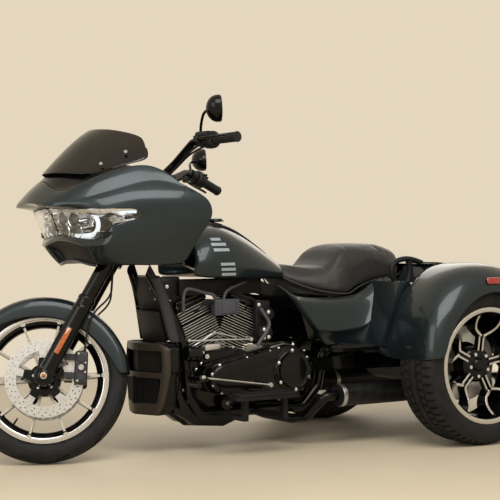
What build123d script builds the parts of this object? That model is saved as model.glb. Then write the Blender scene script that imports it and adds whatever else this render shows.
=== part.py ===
"""A motorized trike: V-twin engine, frame-mounted fairing, two rear wheels and a boot body.

X points forward, Y to the rider's left, Z up.  The origin is on the floor, under the middle of
the outline.  Millimetres and degrees.  Stations are given as distances forward of the rear axle.
The steering stands turned to the right by REST_TURN, as the trike is parked.
"""

import os
from math import cos, radians, sin, sqrt, tan

from build123d import *

os.makedirs("parts", exist_ok=True)

# Driving dimensions of the whole vehicle
WHEELBASE = 1670.0
OVERALL_WIDTH = 1390.0
REAR_OVERHANG = 681.0
RAKE = 26.0
TRAIL = 100.0
REST_TURN = -28.3
SEAT_DIP_HEIGHT = 722.0

# Wheels
FRONT_TYRE_RADIUS = 319.0
FRONT_TYRE_WIDTH = 130.0
FRONT_CROWN_DEPTH = 58.0
FRONT_BEAD_RADIUS = 240.0
FRONT_LIP_RADIUS = 248.0
FRONT_RIM_WIDTH = 96.0
FRONT_HUB_RADIUS = 40.0
FRONT_SPOKES = 10
FRONT_AXLE_RADIUS = 12.5
DISC_RADIUS = 150.0
DISC_INNER_RADIUS = 104.0
DISC_THICKNESS = 5.0
DISC_OFFSET = 64.0
FRONT_HUB_WIDTH = 2 * DISC_OFFSET - DISC_THICKNESS
REAR_TYRE_RADIUS = 325.0
REAR_TYRE_WIDTH = 215.0
REAR_TREAD_WIDTH = 176.0
REAR_TYRE_INSET = 135.0
REAR_TYRE_Y = OVERALL_WIDTH / 2 - REAR_TYRE_INSET
REAR_BEAD_RADIUS = 228.0
REAR_LIP_RADIUS = 240.0
REAR_RIM_WIDTH = 196.0
REAR_HUB_RADIUS = 74.0
REAR_STALKS = 5
REAR_AXLE_RADIUS = 20.0

# Clearances
RUNNING_GAP = 0.05
SEAT_GAP = 0.3

# Front end
FORK_ANGLE = 32.0
FORK_SPREAD = 125.0
FORK_TUBE_RADIUS = 25.0
SLIDER_RADIUS = 32.0
STEM_RADIUS = 17.0
HEAD_TUBE_RADIUS = 34.0
FENDER_RADIUS = 334.0
FENDER_WALL = 3.0
FENDER_WIDTH = 156.0
BAR_RADIUS = 15.0
GRIP_RADIUS = 19.0
GRIP_LENGTH = 120.0

# Fairing
FAIRING_WALL = 5.0
SCREEN_WALL = 4.0

# Body and engine
FRAME_TUBE_RADIUS = 19.0
PANEL_WALL = 4.0
CYLINDER_BORE_RADIUS = 62.0
CYLINDER_FIN_RADIUS = 84.0
CYLINDER_HEIGHT = 250.0
CYLINDER_ANGLE = 22.5
FIN_COUNT = 14
CRANK_HEIGHT = 285.0
CRANK_STATION = 935.0
PIPE_RADIUS = 20.0
MUFFLER_RADIUS = 46.0
MUFFLER_Y = 285.0
MUFFLER_HEIGHT = 205.0
RAIL_HEIGHT = REAR_TYRE_RADIUS + 90.0
BODY_FLOOR = REAR_TYRE_RADIUS + 20.0
BODY_TO_TYRE = 165.0
BODY_HALF = REAR_TYRE_Y - BODY_TO_TYRE
DIFFERENTIAL_RADIUS = 98.0

# The front tyre's tread is one arc across its width
FRONT_CROWN_RADIUS = ((FRONT_TYRE_WIDTH / 2) ** 2 + FRONT_CROWN_DEPTH ** 2) / (2 * FRONT_CROWN_DEPTH)

# The outline's ends, which set the origin: the steered front tyre and the boot's tail
TURN = radians(REST_TURN)
SIN_RAKE = sin(radians(RAKE))
COS_RAKE = cos(radians(RAKE))
LEAN_COS = sqrt(1.0 - (sin(TURN) * SIN_RAKE) ** 2)
HEAD_STATION = WHEELBASE + TRAIL


def offset_from_head(height):
    """How far the front axle at a height lies in front of the steering axis."""
    return height * SIN_RAKE - TRAIL * COS_RAKE


def crown_drop():
    """From the wheel's centre down to the floor when the wheel leans at full rest turn."""
    return (FRONT_TYRE_RADIUS - FRONT_CROWN_RADIUS) * LEAN_COS + FRONT_CROWN_RADIUS


# Turning the bars lowers the axle by this share of its offset from the steering axis
SINK = SIN_RAKE * (1.0 - cos(TURN))
FRONT_AXLE_HEIGHT = (crown_drop() - SINK * TRAIL * COS_RAKE) / (1.0 - SINK * SIN_RAKE)
AXLE_OFFSET = offset_from_head(FRONT_AXLE_HEIGHT)
STEERED_AXLE_STATION = WHEELBASE - AXLE_OFFSET * COS_RAKE * (1.0 - cos(TURN))
PLANE_FORE = sqrt(1.0 - (sin(TURN) * COS_RAKE) ** 2)
FRONT_END = STEERED_AXLE_STATION + (FRONT_TYRE_RADIUS - FRONT_CROWN_RADIUS) * PLANE_FORE + FRONT_CROWN_RADIUS
ORIGIN_STATION = (FRONT_END - REAR_OVERHANG) / 2.0
REAR_AXLE_X = -ORIGIN_STATION


def fore(distance):
    """The X of a station at this distance forward of the rear axle."""
    return REAR_AXLE_X + distance


HEAD_AXIS = Axis((fore(HEAD_STATION), 0, 0), (-SIN_RAKE, 0, COS_RAKE))
FORK_SIN = sin(radians(FORK_ANGLE))
FORK_COS = cos(radians(FORK_ANGLE))


def stem_station(height):
    """Station of the steering axis at a height."""
    return HEAD_STATION - height * tan(radians(RAKE))


def fork_station(height):
    """Station of the fork legs' axis at a height."""
    return WHEELBASE - (height - FRONT_AXLE_HEIGHT) * tan(radians(FORK_ANGLE))


def fork_point(along, side):
    """A point on a fork leg, at a distance up from the axle."""
    return (fore(WHEELBASE - along * FORK_SIN), side * FORK_SPREAD, FRONT_AXLE_HEIGHT + along * FORK_COS)


def leg_plane(along, side):
    """The plane square to a fork leg, at a distance up from the axle."""
    return Plane(origin=fork_point(along, side), x_dir=(0, 1, 0), z_dir=(-FORK_SIN, 0, FORK_COS))


def side_plane(y):
    """A plane facing the rider's left at Y, with its own x forward and its own y up."""
    return Plane(origin=(REAR_AXLE_X, y, 0), x_dir=(-1, 0, 0), z_dir=(0, 1, 0))


def side_points(points):
    """Points as (station, height) on a side plane, whose own x runs rearwards."""
    return [(-station, height) for station, height in points]


def tube_path(points):
    """A path's corners as (station, y, height) in the model's frame."""
    return [(fore(station), y, height) for station, y, height in points]


# Front wheel: tyre, cast rim with ten thin spokes, and two brake discs
FRONT_CENTRE = (fore(WHEELBASE), 0, FRONT_AXLE_HEIGHT)


def wheel_plane(centre):
    """The plane of a wheel's section: own x is the radius, own y is across the wheel."""
    return Plane(origin=centre, x_dir=(1, 0, 0), z_dir=(0, 0, 1))


def wheel_axis(centre):
    """A wheel's axis."""
    return Axis(centre, (0, 1, 0))


with BuildPart() as front_tyre:
    with BuildSketch(wheel_plane(FRONT_CENTRE)):
        half = FRONT_TYRE_WIDTH / 2
        seat = FRONT_BEAD_RADIUS + SEAT_GAP
        bead = FRONT_RIM_WIDTH / 2 - 8 - SEAT_GAP
        waist = FRONT_TYRE_RADIUS - FRONT_CROWN_DEPTH
        with BuildLine():
            lip = FRONT_LIP_RADIUS + SEAT_GAP
            Polyline((seat, -bead), (seat, bead), (lip, bead), (lip, bead + 4), (waist, half))
            ThreePointArc((waist, half), (FRONT_TYRE_RADIUS, 0), (waist, -half))
            Polyline((waist, -half), (lip, -bead - 4), (lip, -bead), (seat, -bead))
        make_face()
    revolve(axis=wheel_axis(FRONT_CENTRE))

with BuildPart() as front_rim:
    with BuildSketch(wheel_plane(FRONT_CENTRE)):
        edge = FRONT_RIM_WIDTH / 2
        with BuildLine():
            Polyline(
                (FRONT_BEAD_RADIUS, -edge + 8), (FRONT_LIP_RADIUS, -edge + 8), (FRONT_LIP_RADIUS, -edge),
                (FRONT_BEAD_RADIUS - 14, -edge), (FRONT_BEAD_RADIUS - 22, -16),
                (FRONT_BEAD_RADIUS - 22, 16), (FRONT_BEAD_RADIUS - 14, edge), (FRONT_LIP_RADIUS, edge),
                (FRONT_LIP_RADIUS, edge - 8), (FRONT_BEAD_RADIUS, edge - 8), close=True)
        make_face()
    revolve(axis=wheel_axis(FRONT_CENTRE))
    with BuildSketch(Plane(origin=FRONT_CENTRE, x_dir=(1, 0, 0), z_dir=(0, 1, 0))):
        Circle(FRONT_HUB_RADIUS)
    extrude(amount=FRONT_HUB_WIDTH / 2, both=True)
    with BuildSketch(Plane(origin=FRONT_CENTRE, x_dir=(1, 0, 0), z_dir=(0, 1, 0))):
        Circle(DISC_INNER_RADIUS - 44)
        with PolarLocations(0, FRONT_SPOKES):
            spoke_root = DISC_INNER_RADIUS - 50
            spoke_tip = FRONT_BEAD_RADIUS - 18
            with Locations(((spoke_root + spoke_tip) / 2, 0)):
                Rectangle(spoke_tip - spoke_root, 9)
    extrude(amount=17, both=True)
    with BuildSketch(Plane(origin=FRONT_CENTRE, x_dir=(1, 0, 0), z_dir=(0, 1, 0))):
        Circle(FRONT_AXLE_RADIUS + RUNNING_GAP)
    extrude(amount=FRONT_HUB_WIDTH, both=True, mode=Mode.SUBTRACT)

with BuildPart() as front_discs:
    for side in (1, -1):
        face_y = side * DISC_OFFSET
        disc_plane = Plane(origin=(FRONT_CENTRE[0], face_y, FRONT_CENTRE[2]),
                           x_dir=(1, 0, 0), z_dir=(0, 1, 0))
        with BuildSketch(disc_plane):
            Circle(DISC_RADIUS)
            Circle(DISC_INNER_RADIUS, mode=Mode.SUBTRACT)
            with PolarLocations((FRONT_HUB_RADIUS + DISC_INNER_RADIUS + 8) / 2, 5, start_angle=18):
                Rectangle(DISC_INNER_RADIUS - FRONT_HUB_RADIUS + 6, 24)
            Circle(FRONT_HUB_RADIUS + 16)
            Circle(FRONT_HUB_RADIUS - 12, mode=Mode.SUBTRACT)
        extrude(amount=DISC_THICKNESS / 2, both=True)

# Front axle, with its hub spacers
AXLE_HALF = FORK_SPREAD + SLIDER_RADIUS + 6
with BuildPart() as front_axle:
    with BuildSketch(Plane(origin=FRONT_CENTRE, x_dir=(1, 0, 0), z_dir=(0, 1, 0))):
        Circle(FRONT_AXLE_RADIUS)
    extrude(amount=AXLE_HALF, both=True)
    for side in (1, -1):
        spacer_start = FRONT_HUB_WIDTH / 2 + SEAT_GAP
        spacer_plane = Plane(origin=(FRONT_CENTRE[0], side * spacer_start, FRONT_CENTRE[2]),
                             x_dir=(1, 0, 0), z_dir=(0, side, 0))
        with BuildSketch(spacer_plane):
            Circle(FRONT_AXLE_RADIUS + 9)
        extrude(amount=FORK_SPREAD - SLIDER_RADIUS - SEAT_GAP - spacer_start)

# Fork legs: lower sliders that clamp the axle, and upper tubes
SLIDER_LENGTH = 330.0
UPPER_START = 300.0
FORK_LENGTH = 790.0
with BuildPart() as fork_legs:
    for side in (1, -1):
        with BuildSketch(leg_plane(0, side)):
            Circle(SLIDER_RADIUS)
        extrude(amount=SLIDER_LENGTH)
        with BuildSketch(leg_plane(SLIDER_LENGTH, side)):
            Circle(FORK_TUBE_RADIUS + 4)
        extrude(amount=FORK_LENGTH - SLIDER_LENGTH)
        with BuildSketch(Plane(origin=(FRONT_CENTRE[0], side * FORK_SPREAD, FRONT_CENTRE[2]),
                               x_dir=(1, 0, 0), z_dir=(0, 1, 0))):
            Circle(SLIDER_RADIUS + 4)
        extrude(amount=SLIDER_RADIUS - 6, both=True)
        with BuildSketch(Plane(origin=FRONT_CENTRE, x_dir=(1, 0, 0), z_dir=(0, 1, 0))):
            Circle(FRONT_AXLE_RADIUS)
        extrude(amount=AXLE_HALF, both=True, mode=Mode.SUBTRACT)

# Triple clamps on the steering stem
CLAMP_THICKNESS = 30.0
LOWER_CLAMP_ALONG = 548.0
UPPER_CLAMP_ALONG = 742.0
with BuildPart() as triple_clamps:
    for along in (LOWER_CLAMP_ALONG, UPPER_CLAMP_ALONG):
        height = FRONT_AXLE_HEIGHT + along * FORK_COS
        ahead = (fork_station(height) - stem_station(height)) / FORK_COS
        with BuildSketch(leg_plane(along, 0).offset(0)):
            with Locations((-FORK_SPREAD, 0), (FORK_SPREAD, 0)):
                Circle(FORK_TUBE_RADIUS + 16)
            with Locations((0, 0)):
                Rectangle(2 * FORK_SPREAD, 56)
            with Locations((0, ahead)):
                Circle(HEAD_TUBE_RADIUS)
        extrude(amount=CLAMP_THICKNESS)
    for side in (1, -1):
        with BuildSketch(leg_plane(0, side)):
            Circle(FORK_TUBE_RADIUS + 4)
        extrude(amount=FORK_LENGTH, mode=Mode.SUBTRACT)
    with BuildSketch(Plane(origin=HEAD_AXIS.position, z_dir=HEAD_AXIS.direction)):
        Circle(STEM_RADIUS)
    extrude(amount=2000, mode=Mode.SUBTRACT)
    with BuildSketch(Plane(origin=(fore(stem_station(775.0)), 0, 775.0), z_dir=HEAD_AXIS.direction)):
        Circle(STEM_RADIUS)
    extrude(amount=(960.0 - 775.0) / COS_RAKE)

# Front fender: a crown over the tyre with straight skirts, from ahead of the top to behind the wheel
FENDER_FRONT_ANGLE = 35.0
with BuildPart() as front_fender:
    with BuildSketch(Plane(origin=FRONT_CENTRE, x_dir=(-1, 0, 0), z_dir=(0, 0, 1))):
        outer = FENDER_WIDTH / 2
        inner = outer - FENDER_WALL
        skirt = FENDER_RADIUS - 78
        shoulder = FENDER_RADIUS - 42
        with BuildLine():
            ThreePointArc((shoulder, outer), (FENDER_RADIUS, 0), (shoulder, -outer))
            Polyline((shoulder, -outer), (skirt, -outer), (skirt, -inner), (shoulder, -inner))
            ThreePointArc((shoulder, -inner), (FENDER_RADIUS - FENDER_WALL, 0), (shoulder, inner))
            Polyline((shoulder, inner), (skirt, inner), (skirt, outer), (shoulder, outer))
        make_face()
    revolve(axis=wheel_axis(FRONT_CENTRE), revolution_arc=180 - FENDER_FRONT_ANGLE)
    stay_centre = fork_point(FENDER_RADIUS - 62, 0)
    for side in (1, -1):
        with BuildSketch(Plane(origin=(stay_centre[0], side * inner, stay_centre[2]),
                               x_dir=(-FORK_SIN, 0, FORK_COS), z_dir=(0, side, 0))):
            Rectangle(90, 46)
        extrude(amount=FORK_SPREAD - SLIDER_RADIUS - SEAT_GAP - inner)

# Brake callipers behind the fork legs: each grips its disc and is carried by a bracket from the leg
PAD_GAP = 0.3
DISC_CLEARANCE = 8.0
CALIPER_Y = DISC_OFFSET + DISC_THICKNESS / 2 + PAD_GAP
with BuildPart() as brake_calipers:
    for side in (1, -1):
        caliper_plane = Plane(origin=(FRONT_CENTRE[0], side * CALIPER_Y, FRONT_CENTRE[2]),
                              x_dir=(1, 0, 0), z_dir=(0, side, 0))
        with BuildSketch(caliper_plane):
            with Locations(Location((-138, -30 * side, 0), 5)):
                RectangleRounded(52, 130, 18)
        extrude(amount=24)
        with BuildSketch(caliper_plane.offset(24)):
            for height in (-6, 30, 66):
                with Locations((-138, -height * side)):
                    Circle(15)
        extrude(amount=5)
        with BuildSketch(caliper_plane.offset(DISC_CLEARANCE)):
            with Locations((-88, -62 * side)):
                RectangleRounded(112, 26, 8)
        extrude(amount=FORK_SPREAD - SLIDER_RADIUS - SEAT_GAP - CALIPER_Y - DISC_CLEARANCE)

# Handlebar, grips with switch housings and levers, and mirrors, straight ahead
BAR_PATH = [
    (1268, 0, 1010), (1235, 70, 1022), (1115, 120, 1120), (1048, 232, 1172), (1000, 290, 1162),
    (896, 430, 1132),
]
with BuildPart() as handlebar:
    for side in (1, -1):
        with BuildLine():
            points = tube_path([(station, side * y, height) for station, y, height in BAR_PATH])
            bar_line = FilletPolyline(*points, radius=45)
        with BuildSketch(Plane(origin=bar_line @ 0, z_dir=bar_line % 0)):
            Circle(BAR_RADIUS)
        sweep(path=bar_line)
    for side in (1, -1):
        with BuildSketch(leg_plane(UPPER_CLAMP_ALONG + CLAMP_THICKNESS + SEAT_GAP, 0)):
            with Locations((side * 38, -36)):
                Circle(17)
        extrude(amount=28)

GRIP_INNER = Vector(*tube_path([BAR_PATH[-2]])[0])
GRIP_END = Vector(*tube_path([BAR_PATH[-1]])[0])
GRIP_DIRECTION = (GRIP_END - GRIP_INNER).normalized()
# A lever from its housing's ring, as (distance out along the grip, distance ahead of the bar)
LEVER_PATH = [(-34, 22), (-30, 48), (2, 60), (70, 54), (112, 58)]
LEVER_WIDTH = 10.0
with BuildPart() as grips:
    for side in (1, -1):
        flip = Vector(1, side, 1)
        start = GRIP_END - GRIP_DIRECTION * GRIP_LENGTH
        direction = Vector(GRIP_DIRECTION.X, side * GRIP_DIRECTION.Y, GRIP_DIRECTION.Z)
        grip_plane = Plane(origin=(start.X, side * start.Y, start.Z), z_dir=direction)
        with BuildSketch(grip_plane):
            Circle(GRIP_RADIUS)
            Circle(BAR_RADIUS + SEAT_GAP, mode=Mode.SUBTRACT)
        extrude(amount=GRIP_LENGTH - 1)
        with BuildSketch(grip_plane.offset(-52)):
            Circle(27)
            Circle(BAR_RADIUS + SEAT_GAP, mode=Mode.SUBTRACT)
        extrude(amount=46)
        ahead_of_bar = direction.cross(Vector(0, 0, 1)) * side
        with BuildSketch(Plane(origin=grip_plane.origin, x_dir=direction, z_dir=direction.cross(ahead_of_bar))):
            with BuildLine():
                Polyline(*LEVER_PATH)
            trace(line_width=LEVER_WIDTH)
        extrude(amount=LEVER_WIDTH / 2, both=True)

# The seat's outline from the side, which the frame carries and the tank clears
SEAT_SHAPE = [
    (648, 22), (560, 6), (440, 0), (385, 20), (352, 78), (310, 100), (150, 94), (60, 78), (0, 43),
    (-6, 30), (120, -22), (300, -54), (480, -90), (540, -82), (655, -18),
]
SEAT_PROFILE = [(station, SEAT_DIP_HEIGHT + rise) for station, rise in SEAT_SHAPE]

# Frame: head tube, backbone, downtubes with cradle, and seat rails
CRADLE_Y = 114.0
CRADLE_PATH = [
    (1272, 62, 760), (1199, 100, 605), (1125, 112, 431), (1102, CRADLE_Y, 230), (1050, CRADLE_Y, 150),
    (560, CRADLE_Y, 150), (478, CRADLE_Y, 230), (448, CRADLE_Y, RAIL_HEIGHT - 45), (380, CRADLE_Y, RAIL_HEIGHT),
    (-128, CRADLE_Y, RAIL_HEIGHT),
]
SWINGARM_Y = 138.0
PIVOT = (470.0, 326.0)
BACKBONE_DEPTH = 50.0
BACKBONE_PATH = [(1330, 830), (1180, 815), (660, 636), (440, 545), (400, 425)]
with BuildPart() as frame:
    for side in (1, -1):
        with BuildLine():
            points = tube_path([(station, side * y, height) for station, y, height in CRADLE_PATH])
            cradle_line = FilletPolyline(*points, radius=40)
        with BuildSketch(Plane(origin=cradle_line @ 0, z_dir=cradle_line % 0)):
            Circle(FRAME_TUBE_RADIUS)
        sweep(path=cradle_line)
    with BuildSketch(side_plane(0)):
        with BuildLine():
            spine = Polyline(*side_points(BACKBONE_PATH))
        trace(line_width=BACKBONE_DEPTH)
    extrude(amount=26, both=True)
    with BuildSketch(side_plane(0)):
        with BuildLine():
            Polyline(*side_points([(1330, 850), (1240, 850), (1215, 760), (1300, 735)]), close=True)
        make_face()
    extrude(amount=66, both=True)
    for station, height in ((540, 150), (380, RAIL_HEIGHT), (-110, RAIL_HEIGHT)):
        with BuildSketch(side_plane(0)):
            with Locations((-station, height)):
                Circle(FRAME_TUBE_RADIUS - 3)
        extrude(amount=CRADLE_Y, both=True)
    with BuildSketch(side_plane(0)):
        with BuildLine():
            Polyline(*side_points([(460, 540), (460, 700), (366, 700), (366, RAIL_HEIGHT), (390, RAIL_HEIGHT - 10)]), close=True)
        make_face()
        with BuildLine():
            Polyline(*side_points(SEAT_PROFILE), close=True)
        make_face(mode=Mode.SUBTRACT)
    extrude(amount=40, both=True)
    with BuildSketch(side_plane(0)):
        with Locations((-PIVOT[0], PIVOT[1])):
            Circle(14)
    extrude(amount=SWINGARM_Y - SEAT_GAP, both=True)
    head_plane = Plane(origin=(fore(stem_station(818)), 0, 818), z_dir=HEAD_AXIS.direction)
    with BuildSketch(head_plane):
        Circle(HEAD_TUBE_RADIUS)
    extrude(amount=115)
    with BuildSketch(head_plane.offset(-200)):
        Circle(STEM_RADIUS + RUNNING_GAP)
    extrude(amount=600, mode=Mode.SUBTRACT)
    with BuildSketch(head_plane.offset(-150)):
        Circle(HEAD_TUBE_RADIUS + 120)
    extrude(amount=150 - 6, mode=Mode.SUBTRACT)

# Engine: crankcase, two finned cylinders at 45 degrees, primary cover and gearbox
CASE_HALF = 94.7
BARREL_START = 150.0
LEAN_SINE = sin(radians(CYLINDER_ANGLE))
LEAN_COSINE = cos(radians(CYLINDER_ANGLE))
BARREL_FOOT = 74.0
FOOT_OUT = BARREL_START * LEAN_SINE + BARREL_FOOT * LEAN_COSINE
FOOT_HEIGHT = CRANK_HEIGHT + BARREL_START * LEAN_COSINE - BARREL_FOOT * LEAN_SINE
PEAK_HEIGHT = CRANK_HEIGHT + BARREL_START / LEAN_COSINE
with BuildPart() as engine_case:
    with BuildSketch(side_plane(0)):
        with BuildLine():
            Polyline(*side_points([
                (1085, 180), (1106, 250), (1096, 350), (CRANK_STATION + FOOT_OUT, FOOT_HEIGHT),
                (CRANK_STATION, PEAK_HEIGHT), (CRANK_STATION - FOOT_OUT, FOOT_HEIGHT),
                (735, 380), (735, 180), (800, 172),
            ]), close=True)
        make_face()
    extrude(amount=CASE_HALF, both=True)

FIN_PITCH = 9.2
FIN_THICKNESS = 3.0
VALLEY_GAP = 3.0
HEAD_TOP = 330.0
cylinders = {}
for name, lean in (("front_cylinder", -CYLINDER_ANGLE), ("rear_cylinder", CYLINDER_ANGLE)):
    with BuildPart() as cylinder:
        crank = Vector(fore(CRANK_STATION), 0, CRANK_HEIGHT)
        up = Vector(0, 0, 1).rotate(Axis.Y, -lean)
        base = Plane(origin=crank, x_dir=(0, 1, 0), z_dir=up)
        with BuildSketch(base.offset(BARREL_START + SEAT_GAP)):
            Circle(CYLINDER_BORE_RADIUS)
        extrude(amount=HEAD_TOP - BARREL_START - SEAT_GAP)
        for fin in range(FIN_COUNT):
            with BuildSketch(base.offset(BARREL_START + 40 + fin * FIN_PITCH)):
                RectangleRounded(2 * CYLINDER_FIN_RADIUS, 2 * CYLINDER_FIN_RADIUS - 8, 30)
            extrude(amount=FIN_THICKNESS)
        with BuildSketch(base.offset(HEAD_TOP - 12)):
            RectangleRounded(150, 176, 34)
        extrude(amount=50, taper=8)
        facing = 1 if lean < 0 else -1
        valley = Plane(origin=(fore(CRANK_STATION) + facing * VALLEY_GAP, 0, 0), z_dir=(facing, 0, 0))
        split(bisect_by=valley, keep=Keep.TOP)
    cylinders[name] = cylinder

PRIMARY_FRONT = (985.0, 297.0)
PRIMARY_REAR = (668.0, 312.0)
PRIMARY_FRONT_RADIUS = 68.0
PRIMARY_REAR_RADIUS = 112.0
DERBY_RADIUS = 86.0
PRIMARY_INNER_Y = 138.0
PRIMARY_OUTER_Y = 205.0
with BuildPart() as primary_cover:
    with BuildSketch(side_plane(CASE_HALF)):
        with Locations((-PRIMARY_FRONT[0], PRIMARY_FRONT[1])):
            Circle(PRIMARY_FRONT_RADIUS - 8)
        with Locations((-PRIMARY_REAR[0], PRIMARY_REAR[1])):
            Circle(PRIMARY_REAR_RADIUS - 8)
        make_hull()
    extrude(amount=PRIMARY_INNER_Y - CASE_HALF)
    with BuildSketch(side_plane(PRIMARY_INNER_Y)):
        with Locations((-PRIMARY_FRONT[0], PRIMARY_FRONT[1])):
            Circle(PRIMARY_FRONT_RADIUS)
        with Locations((-PRIMARY_REAR[0], PRIMARY_REAR[1])):
            Circle(PRIMARY_REAR_RADIUS)
        make_hull()
    extrude(amount=PRIMARY_OUTER_Y - PRIMARY_INNER_Y, taper=8)
    with BuildSketch(side_plane(PRIMARY_OUTER_Y - 1)):
        with Locations((-PRIMARY_REAR[0], PRIMARY_REAR[1])):
            Circle(DERBY_RADIUS)
    extrude(amount=17, taper=20)

with BuildPart() as gearbox:
    with BuildSketch(side_plane(0)):
        with BuildLine():
            Polyline(*side_points([
                (735, 185), (735, 380), (690, 405), (600, 400), (520, 360), (500, 290), (520, 190),
            ]), close=True)
        make_face()
    extrude(amount=CASE_HALF, both=True)

# The intake: an air cleaner on the right, a trunk through the V and a housing on the left
INTAKE_HEIGHT = 583.0
INTAKE_HOUSING = (921.0, 576.0, 116.0, 66.0)
AIR_CLEANER_Y = -126.0
AIR_CLEANER_HEIGHT = 520.0
with BuildPart() as air_cleaner:
    with BuildSketch(side_plane(-CYLINDER_FIN_RADIUS - SEAT_GAP)):
        with Locations((-CRANK_STATION, AIR_CLEANER_HEIGHT - 15)):
            Circle(44)
    extrude(amount=AIR_CLEANER_Y + CYLINDER_FIN_RADIUS + SEAT_GAP)
    with BuildSketch(side_plane(AIR_CLEANER_Y)):
        with Locations((-CRANK_STATION, AIR_CLEANER_HEIGHT)):
            Circle(92)
    extrude(amount=-62, taper=10)
    with BuildSketch(side_plane(AIR_CLEANER_Y)):
        with Locations((-CRANK_STATION, INTAKE_HEIGHT)):
            RectangleRounded(34, 44, 6)
    extrude(amount=CYLINDER_FIN_RADIUS + 2 - AIR_CLEANER_Y)
    with BuildSketch(side_plane(CYLINDER_FIN_RADIUS + SEAT_GAP)):
        with Locations((-INTAKE_HOUSING[0], INTAKE_HOUSING[1])):
            RectangleRounded(INTAKE_HOUSING[2], INTAKE_HOUSING[3], 8)
    extrude(amount=36, taper=6)

# Exhaust: two header pipes on the right, a crossover, and a muffler under each side of the body
with BuildPart() as exhaust_pipes:
    for points in (
        [(1070, -106, 560), (1100, -142, 520), (1118, -170, 390), (1085, -176, 262),
         (960, -178, 205), (720, -180, 205), (560, -MUFFLER_Y, MUFFLER_HEIGHT), (500, -MUFFLER_Y, MUFFLER_HEIGHT)],
        [(500, MUFFLER_Y, MUFFLER_HEIGHT), (560, MUFFLER_Y, MUFFLER_HEIGHT), (606, 215, 118), (612, 120, 103),
         (612, -90, 103), (640, -190, 125), (660, -208, 190)],
    ):
        with BuildLine():
            pipe_line = FilletPolyline(*tube_path(points), radius=30)
        with BuildSketch(Plane(origin=pipe_line @ 0, z_dir=pipe_line % 0)):
            Circle(PIPE_RADIUS)
        sweep(path=pipe_line)

with BuildPart() as mufflers:
    for side in (1, -1):
        with BuildSketch(Plane(origin=(fore(500), side * MUFFLER_Y, MUFFLER_HEIGHT), x_dir=(0, 1, 0), z_dir=(-1, 0, 0))):
            Circle(MUFFLER_RADIUS)
        extrude(amount=1020)
        with BuildSketch(Plane(origin=(fore(-520), side * MUFFLER_Y, MUFFLER_HEIGHT), x_dir=(0, 1, 0), z_dir=(-1, 0, 0))):
            Circle(MUFFLER_RADIUS - 8)
            Circle(MUFFLER_RADIUS - 12, mode=Mode.SUBTRACT)
        extrude(amount=110)
        with BuildSketch(Plane(origin=(fore(-300), side * MUFFLER_Y, MUFFLER_HEIGHT + MUFFLER_RADIUS - 4),
                               x_dir=(1, 0, 0), z_dir=(0, 0, 1))):
            Rectangle(30, 8)
        extrude(amount=BODY_FLOOR - SEAT_GAP - MUFFLER_HEIGHT - MUFFLER_RADIUS + 4)

# Radiator cowl, low in front of the engine: a shallow V in plan, with an open grille above and upright
# louvres below.  Front outline rows are (height, half-width); openings are (low, high, half-width).
COWL_NOSE = 1300.0
COWL_EDGE = 1232.0
COWL_REAR = 1155.0
COWL_HALF = 182.0
COWL_ROWS = [(160, 118), (196, 140), (266, 170), (331, 182), (394, 180), (430, 168), (444, 140)]
COWL_OPENINGS = [(330, 412, 140), (204, 308, 122)]
COWL_DEPTH = 30.0
LOUVRE_PITCH = 14.0
LOUVRE_THICKNESS = 3.0
LOUVRE_DEPTH = 20.0


def cowl_front(y, depth):
    """Station of the cowl's front face at Y, drawn back by a depth."""
    return COWL_NOSE - (COWL_NOSE - COWL_EDGE) * abs(y) / COWL_HALF - depth


with BuildPart() as radiator_cowl:
    with BuildSketch(Plane.XY):
        with BuildLine():
            Polyline((fore(COWL_REAR), -COWL_HALF), (fore(COWL_EDGE), -COWL_HALF), (fore(COWL_NOSE), 0),
                     (fore(COWL_EDGE), COWL_HALF), (fore(COWL_REAR), COWL_HALF), close=True)
        make_face()
    extrude(amount=COWL_ROWS[-1][0])
    with BuildSketch(Plane(origin=(fore(COWL_REAR), 0, 0), x_dir=(0, 1, 0), z_dir=(1, 0, 0))):
        with BuildLine():
            left_side = [(half, height) for height, half in COWL_ROWS]
            right_side = [(-half, height) for height, half in reversed(COWL_ROWS)]
            Polyline(*left_side, *right_side, close=True)
        make_face()
    extrude(amount=COWL_NOSE - COWL_REAR, mode=Mode.INTERSECT)
    for low, high, half in COWL_OPENINGS:
        with BuildSketch(Plane.XY.offset(low)):
            with BuildLine():
                floor = [(fore(cowl_front(y, COWL_DEPTH)), y) for y in (-half, 0, half)]
                Polyline((fore(COWL_NOSE + 1), -half), *floor, (fore(COWL_NOSE + 1), half), close=True)
            make_face()
        extrude(amount=high - low, mode=Mode.SUBTRACT)
    low, high, half = COWL_OPENINGS[1]
    count = int(half / LOUVRE_PITCH)
    with BuildSketch(Plane.XY.offset(low - 1)):
        for index in range(-count, count + 1):
            y = index * LOUVRE_PITCH
            with Locations((fore(cowl_front(y, COWL_DEPTH - LOUVRE_DEPTH / 2 + 1)), y)):
                Rectangle(LOUVRE_DEPTH + 2, LOUVRE_THICKNESS)
    extrude(amount=high - low + 2)
    with BuildSketch(Plane(origin=(fore(COWL_REAR), 0, 0), x_dir=(0, 1, 0), z_dir=(-1, 0, 0))):
        with Locations((-112, -400), (112, -400)):
            Rectangle(14, 20)
    extrude(amount=13.4)

# Seat: deep rider's bucket and a raised pillion behind it
with BuildPart() as seat:
    with BuildSketch(side_plane(0)):
        with BuildLine():
            Polyline(*side_points(SEAT_PROFILE), close=True)
        make_face()
    extrude(amount=180, both=True)
    with BuildSketch(Plane.XY):
        with BuildLine():
            Polyline((fore(660), 40), (fore(560), 92), (fore(450), 165), (fore(380), 178), (fore(250), 150),
                     (fore(30), 140), (fore(-10), 110), (fore(-10), -110), (fore(30), -140), (fore(250), -150),
                     (fore(380), -178), (fore(450), -165), (fore(560), -92), (fore(660), -40), close=True)
        make_face()
    extrude(amount=1000, mode=Mode.INTERSECT)

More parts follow.
